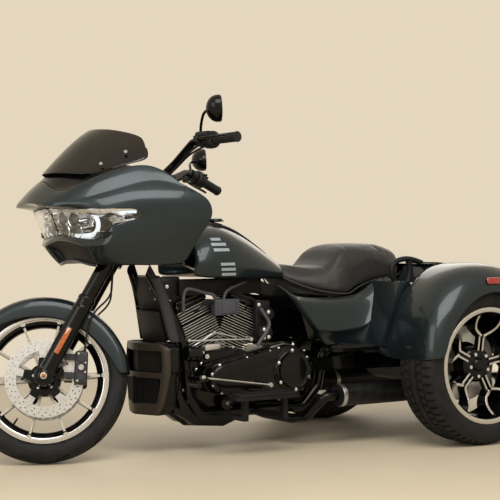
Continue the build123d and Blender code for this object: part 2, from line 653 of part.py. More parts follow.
# Fuel tank: sections along the spine, (station, bottom, widest height, top, half-width)
TANK_SECTIONS = [
    (1085, 700, 752, 850, 148), (1050, 694, 752, 892, 166), (940, 686, 750, 918, 176),
    (846, 682, 736, 890, 164), (750, 678, 722, 839, 140), (668, 676, 710, 787, 112), (634, 678, 704, 760, 92),
]
# The console on the tank's ridge, as (station, height), and the filler cap on it
CONSOLE_RIDGE = [(1000, 918), (930, 926), (860, 908), (790, 872), (720, 829), (665, 792)]
CONSOLE_HALF = 46.0
CAP_STATION = 905.0
CAP_RADIUS = 36.0
with BuildPart() as fuel_tank:
    for station, bottom, widest, top, half in TANK_SECTIONS:
        with BuildSketch(Plane(origin=(fore(station), 0, 0), x_dir=(0, 1, 0), z_dir=(1, 0, 0))):
            with BuildLine():
                shoulder = (half * 0.72, top - 0.32 * (top - widest))
                Line((-half * 0.9, bottom), (half * 0.9, bottom))
                ThreePointArc((half * 0.9, bottom), (half, widest), shoulder)
                ThreePointArc(shoulder, (0, top), (-shoulder[0], shoulder[1]))
                ThreePointArc((-shoulder[0], shoulder[1]), (-half, widest), (-half * 0.9, bottom))
            make_face()
    loft()
    with BuildSketch(side_plane(0)):
        with BuildLine():
            Polyline(*side_points(BACKBONE_PATH))
        trace(line_width=BACKBONE_DEPTH + 6)
    extrude(amount=32, both=True, mode=Mode.SUBTRACT)
    with BuildSketch(side_plane(0)):
        with BuildLine():
            below = [(station, height - 40) for station, height in reversed(CONSOLE_RIDGE)]
            Polyline(*side_points(CONSOLE_RIDGE + below), close=True)
        make_face()
    extrude(amount=CONSOLE_HALF, both=True)
    with BuildSketch(Plane(origin=(fore(CAP_STATION), 0, 900), x_dir=(1, 0, 0), z_dir=(0.06, 0, 1))):
        Circle(CAP_RADIUS)
    extrude(amount=36)
    with BuildSketch(side_plane(0)):
        with BuildLine():
            Polyline(*side_points([(1200, 600), (1200, 800), (640, 650), (500, 600)]), close=True)
        make_face()
    extrude(amount=32, both=True, mode=Mode.SUBTRACT)
    with BuildSketch(side_plane(0)):
        with BuildLine():
            Polyline(*side_points(SEAT_PROFILE), close=True)
        make_face()
        offset(amount=SEAT_GAP)
    extrude(amount=300, both=True, mode=Mode.SUBTRACT)

# Side covers: a slanted panel under each side of the seat
COVER_FRONT = (700.0, 182.0)
COVER_REAR = (250.0, BODY_HALF - 95.0)
COVER_RUN = COVER_FRONT[0] - COVER_REAR[0]
COVER_RISE = COVER_REAR[1] - COVER_FRONT[1]
COVER_LENGTH = sqrt(COVER_RUN ** 2 + COVER_RISE ** 2)
COVER_OUTLINE = [(0, 668), (95, 600), (230, 440), (250, 412), (353, 404), (456, 668), (230, 622)]
with BuildPart() as side_covers:
    for side in (1, -1):
        cover_plane = Plane(origin=(fore(COVER_FRONT[0]), side * COVER_FRONT[1], 0),
                            x_dir=(-COVER_RUN / COVER_LENGTH, side * COVER_RISE / COVER_LENGTH, 0),
                            z_dir=(COVER_RISE / COVER_LENGTH, side * COVER_RUN / COVER_LENGTH, 0))
        with BuildSketch(cover_plane):
            with BuildLine():
                Polyline(*[(along, side * height) for along, height in COVER_OUTLINE], close=True)
            make_face()
        extrude(amount=-6)

# Rear body: a hollow boot with its rear opening, between the two wheels
DOOR_THICKNESS = 12.0
BODY_TAIL = REAR_OVERHANG - DOOR_THICKNESS
BODY_PROFILE = [
    (256, 668), (205, 668), (190, 640), (118, 640), (58, 746), (-130, 728), (160 - BODY_TAIL, 700),
    (40 - BODY_TAIL, 650), (-BODY_TAIL, 560), (20 - BODY_TAIL, BODY_FLOOR + 35), (80 - BODY_TAIL, BODY_FLOOR),
    (-150, BODY_FLOOR), (-136, RAIL_HEIGHT - 9), (356, RAIL_HEIGHT - 9),
]
TAIL_FILLET = 60.0
FLOOR_HEIGHT = RAIL_HEIGHT + FRAME_TUBE_RADIUS + SEAT_GAP
TUNNEL_HALF = 140.0
TUNNEL_REAR = -132.0
DOOR_HALF = BODY_HALF - 125.0
DOOR_BOTTOM = BODY_FLOOR + 60.0
DOOR_TOP = 640.0
SEAT_POCKET_HALF = 186.0
HINGE_STATION = 4.0 - BODY_TAIL
HINGE_HEIGHT = BODY_FLOOR + 58.0
HINGE_PIN_RADIUS = 4.0
HINGE_Y = DOOR_HALF - 110.0
EAR_HALF = 10.0
LUG_WIDTH = 11.0
TUNNEL_LENGTH = 600.0
TUNNEL_DEPTH = 200.0


def body_plan(inset):
    """The body's plan, rounded at the tail, drawn in by a wall's thickness."""
    front = BODY_PROFILE[-1][0]
    with BuildSketch(Plane.XY) as plan:
        with Locations((fore((front - BODY_TAIL + inset) / 2), 0)):
            Rectangle(front + BODY_TAIL - inset, 2 * (BODY_HALF - inset))
        fillet(plan.vertices().group_by(Axis.X)[0], radius=TAIL_FILLET - inset)
    return plan.sketch


with BuildPart() as boot_space:
    with BuildSketch(side_plane(0)):
        with BuildLine():
            Polyline(*side_points(BODY_PROFILE), close=True)
        make_face()
        offset(amount=-PANEL_WALL)
    extrude(amount=BODY_HALF - PANEL_WALL, both=True)
    extrude(body_plan(PANEL_WALL), amount=1000, mode=Mode.INTERSECT)
    with BuildSketch(Plane.XY.offset(FLOOR_HEIGHT + PANEL_WALL)):
        with Locations((fore(TUNNEL_REAR - PANEL_WALL + TUNNEL_LENGTH / 2), 0)):
            Rectangle(TUNNEL_LENGTH, 2 * (TUNNEL_HALF + PANEL_WALL))
    extrude(amount=-TUNNEL_DEPTH, mode=Mode.SUBTRACT)
with BuildPart() as rear_body:
    with BuildSketch(side_plane(0)):
        with BuildLine():
            Polyline(*side_points(BODY_PROFILE), close=True)
        make_face()
    extrude(amount=BODY_HALF, both=True)
    extrude(body_plan(0), amount=1000, mode=Mode.INTERSECT)
    with BuildSketch(Plane.XY.offset(FLOOR_HEIGHT)):
        with Locations((fore(TUNNEL_REAR + TUNNEL_LENGTH / 2), 0)):
            Rectangle(TUNNEL_LENGTH, 2 * TUNNEL_HALF)
    extrude(amount=-TUNNEL_DEPTH, mode=Mode.SUBTRACT)
    add(boot_space.part, mode=Mode.SUBTRACT)
    with BuildSketch(Plane(origin=(fore(-450), 0, 0), x_dir=(0, 1, 0), z_dir=(-1, 0, 0))):
        with Locations((0, -(DOOR_BOTTOM + DOOR_TOP) / 2)):
            RectangleRounded(2 * DOOR_HALF, DOOR_TOP - DOOR_BOTTOM, 24)
    extrude(amount=300, mode=Mode.SUBTRACT)
    with BuildSketch(Plane.XY.offset(600)):
        with Locations((fore(123), 0)):
            Rectangle(276, 2 * SEAT_POCKET_HALF)
    extrude(amount=200, mode=Mode.SUBTRACT)
    for side in (1, -1):
        for lug_side in (1, -1):
            lug_y = side * HINGE_Y + lug_side * (EAR_HALF + SEAT_GAP + LUG_WIDTH / 2)
            with BuildSketch(side_plane(lug_y)):
                with BuildLine():
                    Polyline(*side_points([
                        (20 - BODY_TAIL, HINGE_HEIGHT - 12), (HINGE_STATION - 6, HINGE_HEIGHT - 6),
                        (HINGE_STATION - 6, HINGE_HEIGHT + 1), (HINGE_STATION - 3, HINGE_HEIGHT + 6),
                        (HINGE_STATION + 5, HINGE_HEIGHT + 6),
                        (19 - BODY_TAIL, HINGE_HEIGHT - 1),
                    ]), close=True)
                make_face()
            extrude(amount=LUG_WIDTH / 2, both=True)
        with BuildSketch(side_plane(side * HINGE_Y)):
            with Locations((-HINGE_STATION, HINGE_HEIGHT)):
                Circle(HINGE_PIN_RADIUS)
        extrude(amount=EAR_HALF + SEAT_GAP + LUG_WIDTH, both=True)

# The boot door, hinged along its lower edge
DOOR_GAP = 6.0
DOOR_SKIN = [(14 - BODY_TAIL, DOOR_BOTTOM + DOOR_GAP), (-BODY_TAIL, 560), (36 - BODY_TAIL, 634)]
with BuildPart() as trunk_door:
    with BuildSketch(side_plane(0)):
        with BuildLine():
            outer_skin = [(station - DOOR_THICKNESS, height) for station, height in reversed(DOOR_SKIN)]
            Polyline(*side_points(DOOR_SKIN + outer_skin), close=True)
        make_face()
    extrude(amount=DOOR_HALF, both=True)
    with BuildSketch(Plane(origin=(fore(-BODY_TAIL - 100), 0, 0), x_dir=(0, 1, 0), z_dir=(1, 0, 0))):
        with Locations((0, (DOOR_BOTTOM + DOOR_TOP) / 2)):
            RectangleRounded(2 * (DOOR_HALF - DOOR_GAP), DOOR_TOP - DOOR_BOTTOM - 2 * DOOR_GAP, 24 - DOOR_GAP)
    extrude(amount=200, mode=Mode.INTERSECT)
    for side in (1, -1):
        with BuildSketch(side_plane(side * HINGE_Y)):
            with Locations((-HINGE_STATION, HINGE_HEIGHT + 5)):
                Rectangle(13, 22)
            with Locations((-HINGE_STATION, HINGE_HEIGHT)):
                Circle(HINGE_PIN_RADIUS + RUNNING_GAP, mode=Mode.SUBTRACT)
        extrude(amount=EAR_HALF, both=True)

# Rear fenders: arched shells over the tyres, rounded along the crown, open below and inside
FENDER_INNER_Y = BODY_HALF + SEAT_GAP
FENDER_OUTER_Y = OVERALL_WIDTH / 2
FENDER_FRONT = REAR_TYRE_RADIUS + 11.0
FENDER_REAR = -REAR_TYRE_RADIUS - 85.0
FENDER_TOP = 2 * REAR_TYRE_RADIUS + 98.0
FENDER_BOTTOM = REAR_TYRE_RADIUS + 27.0
FENDER_FOOT = FENDER_BOTTOM + 80.0
CROWN_FILLET = 62.0
ARCH_RADIUS = REAR_TYRE_RADIUS - 10.0


def fender_block(side, inset):
    """A fender's solid body on one side, drawn in by a wall's thickness and running down to the axle."""
    low = REAR_TYRE_RADIUS - 60
    top = FENDER_TOP - inset
    with BuildPart() as block:
        with BuildSketch(side_plane(side * FENDER_INNER_Y)) as outline:
            with Locations((-(FENDER_FRONT + FENDER_REAR) / 2, (top + low) / 2)):
                Rectangle(FENDER_FRONT - FENDER_REAR - 2 * inset, top - low)
            fillet(outline.vertices().group_by(Axis.Y)[-1], radius=FENDER_TOP - FENDER_FOOT - inset)
        extrude(amount=side * (FENDER_OUTER_Y - FENDER_INNER_Y - inset))
        outer_face = block.faces().sort_by(Axis.Y)[-1 if side > 0 else 0]
        crown = outer_face.edges().filter_by(lambda edge: edge.center().Z > low + 1)
        fillet(crown, radius=CROWN_FILLET - inset)
    return block.part


rear_fenders = {}
for name, side in (("rear_fender_left", 1), ("rear_fender_right", -1)):
    with BuildPart() as fender:
        add(fender_block(side, 0))
        add(fender_block(side, PANEL_WALL), mode=Mode.SUBTRACT)
        with BuildSketch(side_plane(0)):
            with Locations((0, REAR_TYRE_RADIUS)):
                Circle(ARCH_RADIUS)
        extrude(amount=side * 2 * FENDER_OUTER_Y, mode=Mode.SUBTRACT)
        with BuildSketch(Plane.XY):
            with Locations((fore(0), side * FENDER_OUTER_Y)):
                Rectangle(3 * FENDER_FRONT, FENDER_OUTER_Y)
        extrude(amount=FENDER_BOTTOM, mode=Mode.SUBTRACT)
    rear_fenders[name] = fender

# Rear wheels
rear_wheels = {}
for name, side in (("left", 1), ("right", -1)):
    centre = (fore(0), side * REAR_TYRE_Y, REAR_TYRE_RADIUS)
    with BuildPart() as tyre:
        with BuildSketch(wheel_plane(centre)):
            half = REAR_TYRE_WIDTH / 2
            tread = REAR_TREAD_WIDTH / 2
            seat_radius = REAR_BEAD_RADIUS + SEAT_GAP
            bead = REAR_RIM_WIDTH / 2 - 8 - SEAT_GAP
            lip = REAR_LIP_RADIUS + SEAT_GAP
            with BuildLine():
                Polyline((seat_radius, -bead), (seat_radius, bead), (lip, bead), (lip, bead + 6))
                ThreePointArc((lip, bead + 6), (seat_radius + 46, half), (REAR_TYRE_RADIUS - 12, tread + 8))
                Polyline((REAR_TYRE_RADIUS - 12, tread + 8), (REAR_TYRE_RADIUS, tread), (REAR_TYRE_RADIUS, -tread),
                         (REAR_TYRE_RADIUS - 12, -tread - 8))
                ThreePointArc((REAR_TYRE_RADIUS - 12, -tread - 8), (seat_radius + 46, -half), (lip, -bead - 6))
                Polyline((lip, -bead - 6), (lip, -bead), (seat_radius, -bead))
            make_face()
        revolve(axis=wheel_axis(centre))
    with BuildPart() as rim:
        with BuildSketch(wheel_plane(centre)):
            edge = REAR_RIM_WIDTH / 2
            with BuildLine():
                Polyline((REAR_BEAD_RADIUS, -edge + 8), (REAR_LIP_RADIUS, -edge + 8), (REAR_LIP_RADIUS, -edge),
                         (REAR_BEAD_RADIUS - 8, -edge), (REAR_BEAD_RADIUS - 10, edge), (REAR_LIP_RADIUS, edge),
                         (REAR_LIP_RADIUS, edge - 8), (REAR_BEAD_RADIUS, edge - 8), close=True)
            make_face()
        revolve(axis=wheel_axis(centre))
        with BuildSketch(side_plane(side * (REAR_TYRE_Y + 4))):
            with Locations((0, REAR_TYRE_RADIUS)):
                Circle(REAR_HUB_RADIUS)
                with PolarLocations(0, REAR_STALKS, start_angle=90 + 8.4):
                    with Locations((100, 0)):
                        Rectangle(110, 44)
                for spread in (-22, 22):
                    with PolarLocations(0, REAR_STALKS, start_angle=90 + 8.4 + spread / 2):
                        with Locations(Location((180, 0), spread)):
                            Rectangle(82, 18)
        extrude(amount=side * 30)
        with BuildSketch(side_plane(side * (REAR_TYRE_Y - 60))):
            with Locations((0, REAR_TYRE_RADIUS)):
                Circle(REAR_HUB_RADIUS - 2)
        extrude(amount=side * 66)
        with BuildSketch(side_plane(side * (REAR_TYRE_Y - 60))):
            with Locations((0, REAR_TYRE_RADIUS)):
                Circle(REAR_AXLE_RADIUS + RUNNING_GAP)
        extrude(amount=side * 70, mode=Mode.SUBTRACT)
        with BuildSketch(side_plane(side * (REAR_TYRE_Y - 46))):
            with Locations((0, REAR_TYRE_RADIUS)):
                Circle(DISC_RADIUS)
                Circle(REAR_HUB_RADIUS - 3, mode=Mode.SUBTRACT)
        extrude(amount=side * 6)
    rear_wheels[name] = (rim, tyre)

# Rear axle housing with its differential, and the swinging arm that carries it
with BuildPart() as rear_axle:
    with BuildSketch(side_plane(0)):
        with Locations((0, REAR_TYRE_RADIUS)):
            Circle(REAR_AXLE_RADIUS)
    extrude(amount=REAR_TYRE_Y + 8, both=True)
    with BuildSketch(side_plane(0)):
        with Locations((0, REAR_TYRE_RADIUS)):
            Circle(REAR_AXLE_RADIUS + 18)
    extrude(amount=REAR_TYRE_Y - 66, both=True)
    with BuildSketch(side_plane(0)):
        with Locations((0, REAR_TYRE_RADIUS)):
            Circle(DIFFERENTIAL_RADIUS)
    extrude(amount=74, both=True)

with BuildPart() as swingarm:
    for side in (1, -1):
        with BuildSketch(side_plane(side * SWINGARM_Y)):
            with BuildLine():
                Polyline(*side_points([
                    (540, PIVOT[1] + 26), (540, PIVOT[1] - 26),
                    (REAR_AXLE_RADIUS + 18 + SEAT_GAP, REAR_TYRE_RADIUS - 35),
                    (REAR_AXLE_RADIUS + 18 + SEAT_GAP, REAR_TYRE_RADIUS + 37),
                ]), close=True)
            make_face()
        extrude(amount=side * 26)

# Fairing: a shark-nosed shell fixed to the frame.  Half-sections from the nose to the rear:
# (station, top, shoulder y, shoulder z, waist y, waist z, low y, low z)
FAIRING_SECTIONS = [
    (1766, 1003, 22, 999, 30, 992, 20, 981),
    (1700, 1078, 118, 1045, 150, 992, 118, 948),
    (1645, 1116, 186, 1060, 216, 975, 150, 850),
    (1590, 1134, 238, 1070, 272, 962, 196, 768),
    (1450, 1150, 312, 1078, 366, 958, 268, 744),
    (1300, 1158, 345, 1076, 394, 962, 300, 740),
    (1140, 1150, 372, 1040, 404, 968, 322, 740),
]


def fairing_section(row, inset):
    """Draw one closed section of the fairing, drawn in by a wall's thickness."""
    station, top, shoulder_y, shoulder_z, waist_y, waist_z, low_y, low_z = row
    shoulder = (shoulder_y - inset, shoulder_z - inset / 2)
    waist = (waist_y - inset, waist_z)
    low = (low_y - inset, low_z + inset)
    with BuildSketch(Plane(origin=(fore(station), 0, 0), x_dir=(0, 1, 0), z_dir=(1, 0, 0))) as section_sketch:
        with BuildLine():
            Line((-low[0], low[1]), low)
            ThreePointArc(low, waist, shoulder)
            ThreePointArc(shoulder, (0, top - inset), (-shoulder[0], shoulder[1]))
            ThreePointArc((-shoulder[0], shoulder[1]), (-waist[0], waist[1]), (-low[0], low[1]))
        make_face()
    return section_sketch.sketch


LAMP_OUTLINE = [(1760, 970), (1425, 966), (1430, 950), (1500, 925), (1545, 850), (1760, 850)]
FAIRING_REAR_CUT = [
    (1440, 1200), (1368, 1142), (1325, 1118), (1289, 1088), (1262, 1060), (1205, 1030), (1160, 1002), (1146, 956),
    (1166, 912), (1212, 836), (1222, 760), (1222, 700), (1000, 700), (1000, 1200),
]
with BuildPart() as fairing_shell:
    loft([fairing_section(row, 0) for row in FAIRING_SECTIONS], ruled=True)
    loft([fairing_section(row, FAIRING_WALL) for row in FAIRING_SECTIONS[1:]], ruled=True, mode=Mode.SUBTRACT)
    with BuildSketch(Plane.XY.offset(700)):
        with Locations((fore(1340), 0)):
            Rectangle(400, 2 * (FORK_SPREAD + 95))
    extrude(amount=100, mode=Mode.SUBTRACT)
    for outline in (FAIRING_REAR_CUT, LAMP_OUTLINE):
        with BuildSketch(side_plane(0)):
            with BuildLine():
                Polyline(*side_points(outline), close=True)
            make_face()
        extrude(amount=500, both=True, mode=Mode.SUBTRACT)

with BuildPart() as headlamp_lens:
    loft([fairing_section(row, 1) for row in FAIRING_SECTIONS], ruled=True)
    loft([fairing_section(row, FAIRING_WALL) for row in FAIRING_SECTIONS[1:]], ruled=True, mode=Mode.SUBTRACT)
    with BuildSketch(side_plane(0)):
        with BuildLine():
            Polyline(*side_points(LAMP_OUTLINE), close=True)
        make_face()
        offset(amount=-SEAT_GAP)
    extrude(amount=500, both=True, mode=Mode.INTERSECT)

with BuildPart() as headlamp_housing:
    with BuildSketch(Plane(origin=(fore(1556) + SEAT_GAP, 0, 905), x_dir=(0, 1, 0), z_dir=(1, 0, 0))):
        RectangleRounded(340, 84, 20)
    extrude(amount=40)
    with BuildSketch(Plane(origin=(fore(1585), 0, 905), x_dir=(0, 1, 0), z_dir=(1, 0, 0))):
        with GridLocations(76, 60, 4, 1):
            Circle(30)
    extrude(amount=30, mode=Mode.SUBTRACT)

# The bracket that carries the fairing: from the head tube forward between the fork legs
with BuildPart() as fairing_bracket:
    with BuildSketch(Plane.XY.offset(862)):
        with BuildLine():
            Polyline((fore(1330), 22), (fore(1520), 22), (fore(1532), 60), (fore(1532), 400), (fore(1556), 400),
                     (fore(1556), -400), (fore(1532), -400), (fore(1532), -60), (fore(1520), -22),
                     (fore(1330), -22), close=True)
        make_face()
    extrude(amount=22)
    loft([fairing_section(row, FAIRING_WALL + SEAT_GAP) for row in FAIRING_SECTIONS[1:]],
         ruled=True, mode=Mode.INTERSECT)
    with BuildSketch(Plane(origin=HEAD_AXIS.position, z_dir=HEAD_AXIS.direction)):
        Circle(HEAD_TUBE_RADIUS + SEAT_GAP)
    extrude(amount=2000, mode=Mode.SUBTRACT)
    with BuildSketch(Plane.XY.offset(800)):
        with Locations((fore(1250), 0)):
            Rectangle(200, 200)
    extrude(amount=200, mode=Mode.SUBTRACT)

# The dash behind the screen: a crown that rolls over into the instruments' face
DASH_PROFILE = [
    (1470, 1146), (1392, 1158), (1352, 1130), (1330, 1060), (1334, 1036), (1346, 1036), (1346, 1060), (1362, 1118),
    (1396, 1144), (1470, 1132),
]
with BuildPart() as inner_fairing:
    with BuildSketch(side_plane(0)):
        with BuildLine():
            Polyline(*side_points(DASH_PROFILE), close=True)
        make_face()
    extrude(amount=400, both=True)
    loft([fairing_section(row, FAIRING_WALL + SEAT_GAP) for row in FAIRING_SECTIONS[1:]],
         ruled=True, mode=Mode.INTERSECT)

# Windscreen: a low sheet wrapped round the fairing's crown
SCREEN_LOW = (1668.0, 1330.0, 292.0, 1098.0)
SCREEN_HIGH = (1446.0, 1330.0, 214.0, 1290.0)
with BuildPart() as windscreen:
    for station, rear, half, height in (SCREEN_LOW, SCREEN_HIGH):
        with BuildSketch(Plane.XY.offset(height)):
            with BuildLine():
                ThreePointArc((fore(rear), -half), (fore(station), 0), (fore(rear), half))
                Line((fore(rear), half), (fore(rear), half - SCREEN_WALL))
                ThreePointArc((fore(rear), half - SCREEN_WALL), (fore(station) - SCREEN_WALL, 0),
                              (fore(rear), SCREEN_WALL - half))
                Line((fore(rear), SCREEN_WALL - half), (fore(rear), -half))
            make_face()
    loft(ruled=True)
    with BuildSketch(side_plane(0)):
        with BuildLine():
            Polyline(*side_points([(1690, 1080), (1364, 1120), (1376, 1254), (1430, 1300), (1690, 1300)]), close=True)
        make_face()
    extrude(amount=400, both=True, mode=Mode.INTERSECT)
    loft([fairing_section(row, -SEAT_GAP) for row in FAIRING_SECTIONS], ruled=True, mode=Mode.SUBTRACT)

# Mirrors on stalks from the bar
with BuildPart() as mirrors:
    for side in (1, -1):
        with BuildLine():
            stalk = FilletPolyline(*tube_path([(985, side * 312, 1188.3), (1000, side * 372, 1244), (960, side * 378, 1270)]),
                                   radius=12)
        with BuildSketch(Plane(origin=stalk @ 0, z_dir=stalk % 0)):
            Circle(5)
        sweep(path=stalk)
        with BuildSketch(Plane(origin=(fore(948), side * 378, 1270), x_dir=(0, 1, 0), z_dir=(1, 0, 0))):
            Ellipse(52, 43)
        extrude(amount=18)

# Footboards, passenger boards, and the foot controls
with BuildPart() as footboards:
    for side in (1, -1):
        with BuildSketch(Plane(origin=(fore(890), side * 340, 225), x_dir=(1, 0, 0), z_dir=(0, 0, 1))):
            RectangleRounded(300, 110, 40)
        extrude(amount=14)
        for station in (800, 985):
            with BuildSketch(side_plane(side * (CRADLE_Y + FRAME_TUBE_RADIUS + SEAT_GAP))):
                with Locations((-station, 150)):
                    Rectangle(22, 18)
            extrude(amount=side * 222)
            with BuildSketch(Plane(origin=(fore(station), side * 345, 150), x_dir=(1, 0, 0), z_dir=(0, 0, 1))):
                Rectangle(22, 22)
            extrude(amount=76)

with BuildPart() as passenger_boards:
    for side in (1, -1):
        with BuildSketch(Plane(origin=(fore(418), side * 318, 390), x_dir=(1, 0, 0), z_dir=(0, 0, 1))):
            RectangleRounded(280, 84, 30)
        extrude(amount=12)
        with BuildSketch(side_plane(side * (CRADLE_Y + FRAME_TUBE_RADIUS + SEAT_GAP))):
            with Locations((-452, 383)):
                Rectangle(24, 16)
        extrude(amount=side * 190)

with BuildPart() as grab_handles:
    for side in (1, -1):
        with BuildLine():
            loop = FilletPolyline(*tube_path([
                (226, side * 300, 670.5), (214, side * 298, 745), (110, side * 290, 774), (44, side * 288, 772),
                (40, side * 288, 751.5),
            ]), radius=12)
        with BuildSketch(Plane(origin=loop @ 0, z_dir=loop % 0)):
            Circle(11)
        sweep(path=loop)

with BuildPart() as tail_lamps:
    for side in (1, -1):
        with BuildSketch(Plane(origin=(fore(-406.7), side * 530, 480), x_dir=(0, 1, 0), z_dir=(-140, 0, 15))):
            RectangleRounded(110, 60, 25)
        extrude(amount=20)

pieces = {
    "frame": frame, "engine_case": engine_case, "front_cylinder": cylinders["front_cylinder"],
    "rear_cylinder": cylinders["rear_cylinder"], "primary_cover": primary_cover, "gearbox": gearbox,
    "air_cleaner": air_cleaner, "exhaust_pipes": exhaust_pipes, "mufflers": mufflers,
    "radiator_cowl": radiator_cowl, "fuel_tank": fuel_tank, "seat": seat, "side_covers": side_covers,
    "rear_body": rear_body, "rear_fender_left": rear_fenders["rear_fender_left"],
    "rear_fender_right": rear_fenders["rear_fender_right"], "trunk_door": trunk_door,
    "rear_axle": rear_axle, "swingarm": swingarm, "fairing_shell": fairing_shell,
    "headlamp_lens": headlamp_lens, "headlamp_housing": headlamp_housing, "inner_fairing": inner_fairing,
    "fairing_bracket": fairing_bracket,
    "windscreen": windscreen, "footboards": footboards, "passenger_boards": passenger_boards,
    "grab_handles": grab_handles, "tail_lamps": tail_lamps,
    "rear_rim_left": rear_wheels["left"][0], "rear_tyre_left": rear_wheels["left"][1],
    "rear_rim_right": rear_wheels["right"][0], "rear_tyre_right": rear_wheels["right"][1],
}
for name, piece in pieces.items():
    piece.part.label = name
    export_step(piece.part, f"parts/{name}.step")

steered = {
    "front_tyre": front_tyre, "front_rim": front_rim, "front_discs": front_discs, "front_axle": front_axle,
    "fork_legs": fork_legs, "triple_clamps": triple_clamps, "front_fender": front_fender,
    "brake_calipers": brake_calipers, "handlebar": handlebar, "grips": grips, "mirrors": mirrors,
}
for name, piece in steered.items():
    turned = piece.part.rotate(HEAD_AXIS, REST_TURN)
    turned.label = name
    export_step(turned, f"parts/{name}.step")
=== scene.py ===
"""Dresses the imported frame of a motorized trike: enamel, cast and machined metal, rubber and leather."""

from math import acos, atan2, copysign, cos, hypot, pi, radians, sin

import bmesh
import bpy
from mathutils import Matrix, Vector


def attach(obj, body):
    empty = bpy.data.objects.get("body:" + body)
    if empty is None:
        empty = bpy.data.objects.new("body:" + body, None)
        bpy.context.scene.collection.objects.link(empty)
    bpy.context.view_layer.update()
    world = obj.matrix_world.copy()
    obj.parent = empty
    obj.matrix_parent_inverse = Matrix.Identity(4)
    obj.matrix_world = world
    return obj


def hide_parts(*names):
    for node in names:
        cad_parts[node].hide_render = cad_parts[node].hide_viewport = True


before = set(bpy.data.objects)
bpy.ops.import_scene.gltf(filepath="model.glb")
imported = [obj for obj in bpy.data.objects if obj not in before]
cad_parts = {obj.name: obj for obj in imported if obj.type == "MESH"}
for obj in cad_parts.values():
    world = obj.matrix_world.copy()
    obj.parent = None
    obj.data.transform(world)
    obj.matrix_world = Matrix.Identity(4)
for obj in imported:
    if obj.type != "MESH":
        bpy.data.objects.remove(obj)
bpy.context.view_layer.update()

bl_info = {
    "name": "Motorized Trike",
    "version": (1, 0, 0),
    "blender": (4, 5, 0),
    "location": "View3D > Sidebar > Trike",
    "description": "Builds the visible pieces of a three-wheeled touring motorcycle over its frame",
    "category": "Add Mesh",
}

# Places are written as (distance ahead of the rear axle, distance to the rider's left, height), in metres
REAR_AXLE_X = -0.6393003
HEAD_STATION = 1.77
RAKE = radians(26)
FRONT_HUB = (1.67, 0.0, 0.3160124)
REAR_HUB_Y = 0.56
REAR_HUB_Z = 0.325


def at(ahead, side, height):
    """The point in the frame for a place measured from the rear axle."""
    return Vector((REAR_AXLE_X + ahead, side, height))


def metres(item):
    """Lengths written in millimetres, in lists of any depth, turned to metres."""
    return [metres(part) for part in item] if isinstance(item, (list, tuple)) else item / 1000


def moved(row, ahead=0, side=0, height=0, wide=1):
    """A row of places, moved and made wider or narrower about the middle."""
    return [(a + ahead, s * wide + side, h + height) for a, s, h in row]


HEAD_POINT = at(HEAD_STATION, 0, 0)
HEAD_LINE = Vector((-sin(RAKE), 0, cos(RAKE)))
STEERED = (Matrix.Translation(HEAD_POINT) @ Matrix.Rotation(radians(-28.3), 4, HEAD_LINE)
           @ Matrix.Translation(-HEAD_POINT))
STRAIGHT = Matrix.Identity(4)
ACROSS = Vector((0, 1, 0))
UP = Vector((0, 0, 1))
SIDES = ((1, "left"), (-1, "right"))


def parked(body):
    """What turns a piece drawn with straight bars to the place where its body is parked."""
    return STEERED if body in ("front_end", "front_wheel") else STRAIGHT


# Materials

def linear(code):
    """A colour written in sRGB hex, turned to the linear values that sockets take."""
    channels = [int(code[i:i + 2], 16) / 255 for i in (1, 3, 5)]
    return [c / 12.92 if c < 0.04045 else ((c + 0.055) / 1.055) ** 2.4 for c in channels] + [1.0]


def add_node(tree, kind, settings=None, links=None):
    """Adds one node with its settings, plain socket values and incoming links."""
    made = tree.nodes.new(kind)
    for name, value in (settings or {}).items():
        if isinstance(name, int) or name in made.inputs:
            made.inputs[name].default_value = value
        else:
            setattr(made, name, value)
    for name, source in (links or {}).items():
        tree.links.new(source, made.inputs[name])
    return made


def start_material(name, **sockets):
    """An empty principled material; returns it with its tree, its shader and its object coordinates."""
    material = bpy.data.materials.new(name)
    material.use_nodes = True
    tree = material.node_tree
    shader = tree.nodes["Principled BSDF"]
    for socket, value in sockets.items():
        shader.inputs[socket.replace("_", " ")].default_value = value
    return material, tree, shader, add_node(tree, "ShaderNodeTexCoord").outputs["Object"]


def two_tone(tree, shader, factor, dark, light, span=(0.35, 0.65), socket="Base Color"):
    """Runs the shader's colour between two tones, in hex or linear, by a pattern and over a span of it."""
    ramp = add_node(tree, "ShaderNodeValToRGB", links={"Fac": factor})
    for element, place, code in zip(ramp.color_ramp.elements, span, (dark, light)):
        element.position = place
        element.color = linear(code) if isinstance(code, str) else code
    tree.links.new(ramp.outputs["Color"], shader.inputs[socket])


def roughen(tree, shader, factor, low, high):
    """Spreads the shader's roughness between two values by a pattern."""
    spread = add_node(tree, "ShaderNodeMapRange", {"To Min": low, "To Max": high}, {"Value": factor})
    tree.links.new(spread.outputs["Result"], shader.inputs["Roughness"])


def relief(tree, shader, height, depth, strength=1.0, socket="Normal"):
    """Raises the surface by a pattern, to a depth in metres."""
    bump = add_node(tree, "ShaderNodeBump", {"Strength": strength, "Distance": depth}, {"Height": height})
    tree.links.new(bump.outputs["Normal"], shader.inputs[socket])


def noise(tree, place, scale, detail=2.0):
    """A noise pattern's factor."""
    made = add_node(tree, "ShaderNodeTexNoise", {"Scale": scale, "Detail": detail}, {"Vector": place})
    return made.outputs["Fac"]


def cells(tree, place, scale, feature="F1"):
    """A cell pattern's distance."""
    made = add_node(tree, "ShaderNodeTexVoronoi", {"Scale": scale, "feature": feature}, {"Vector": place})
    return made.outputs["Distance"]


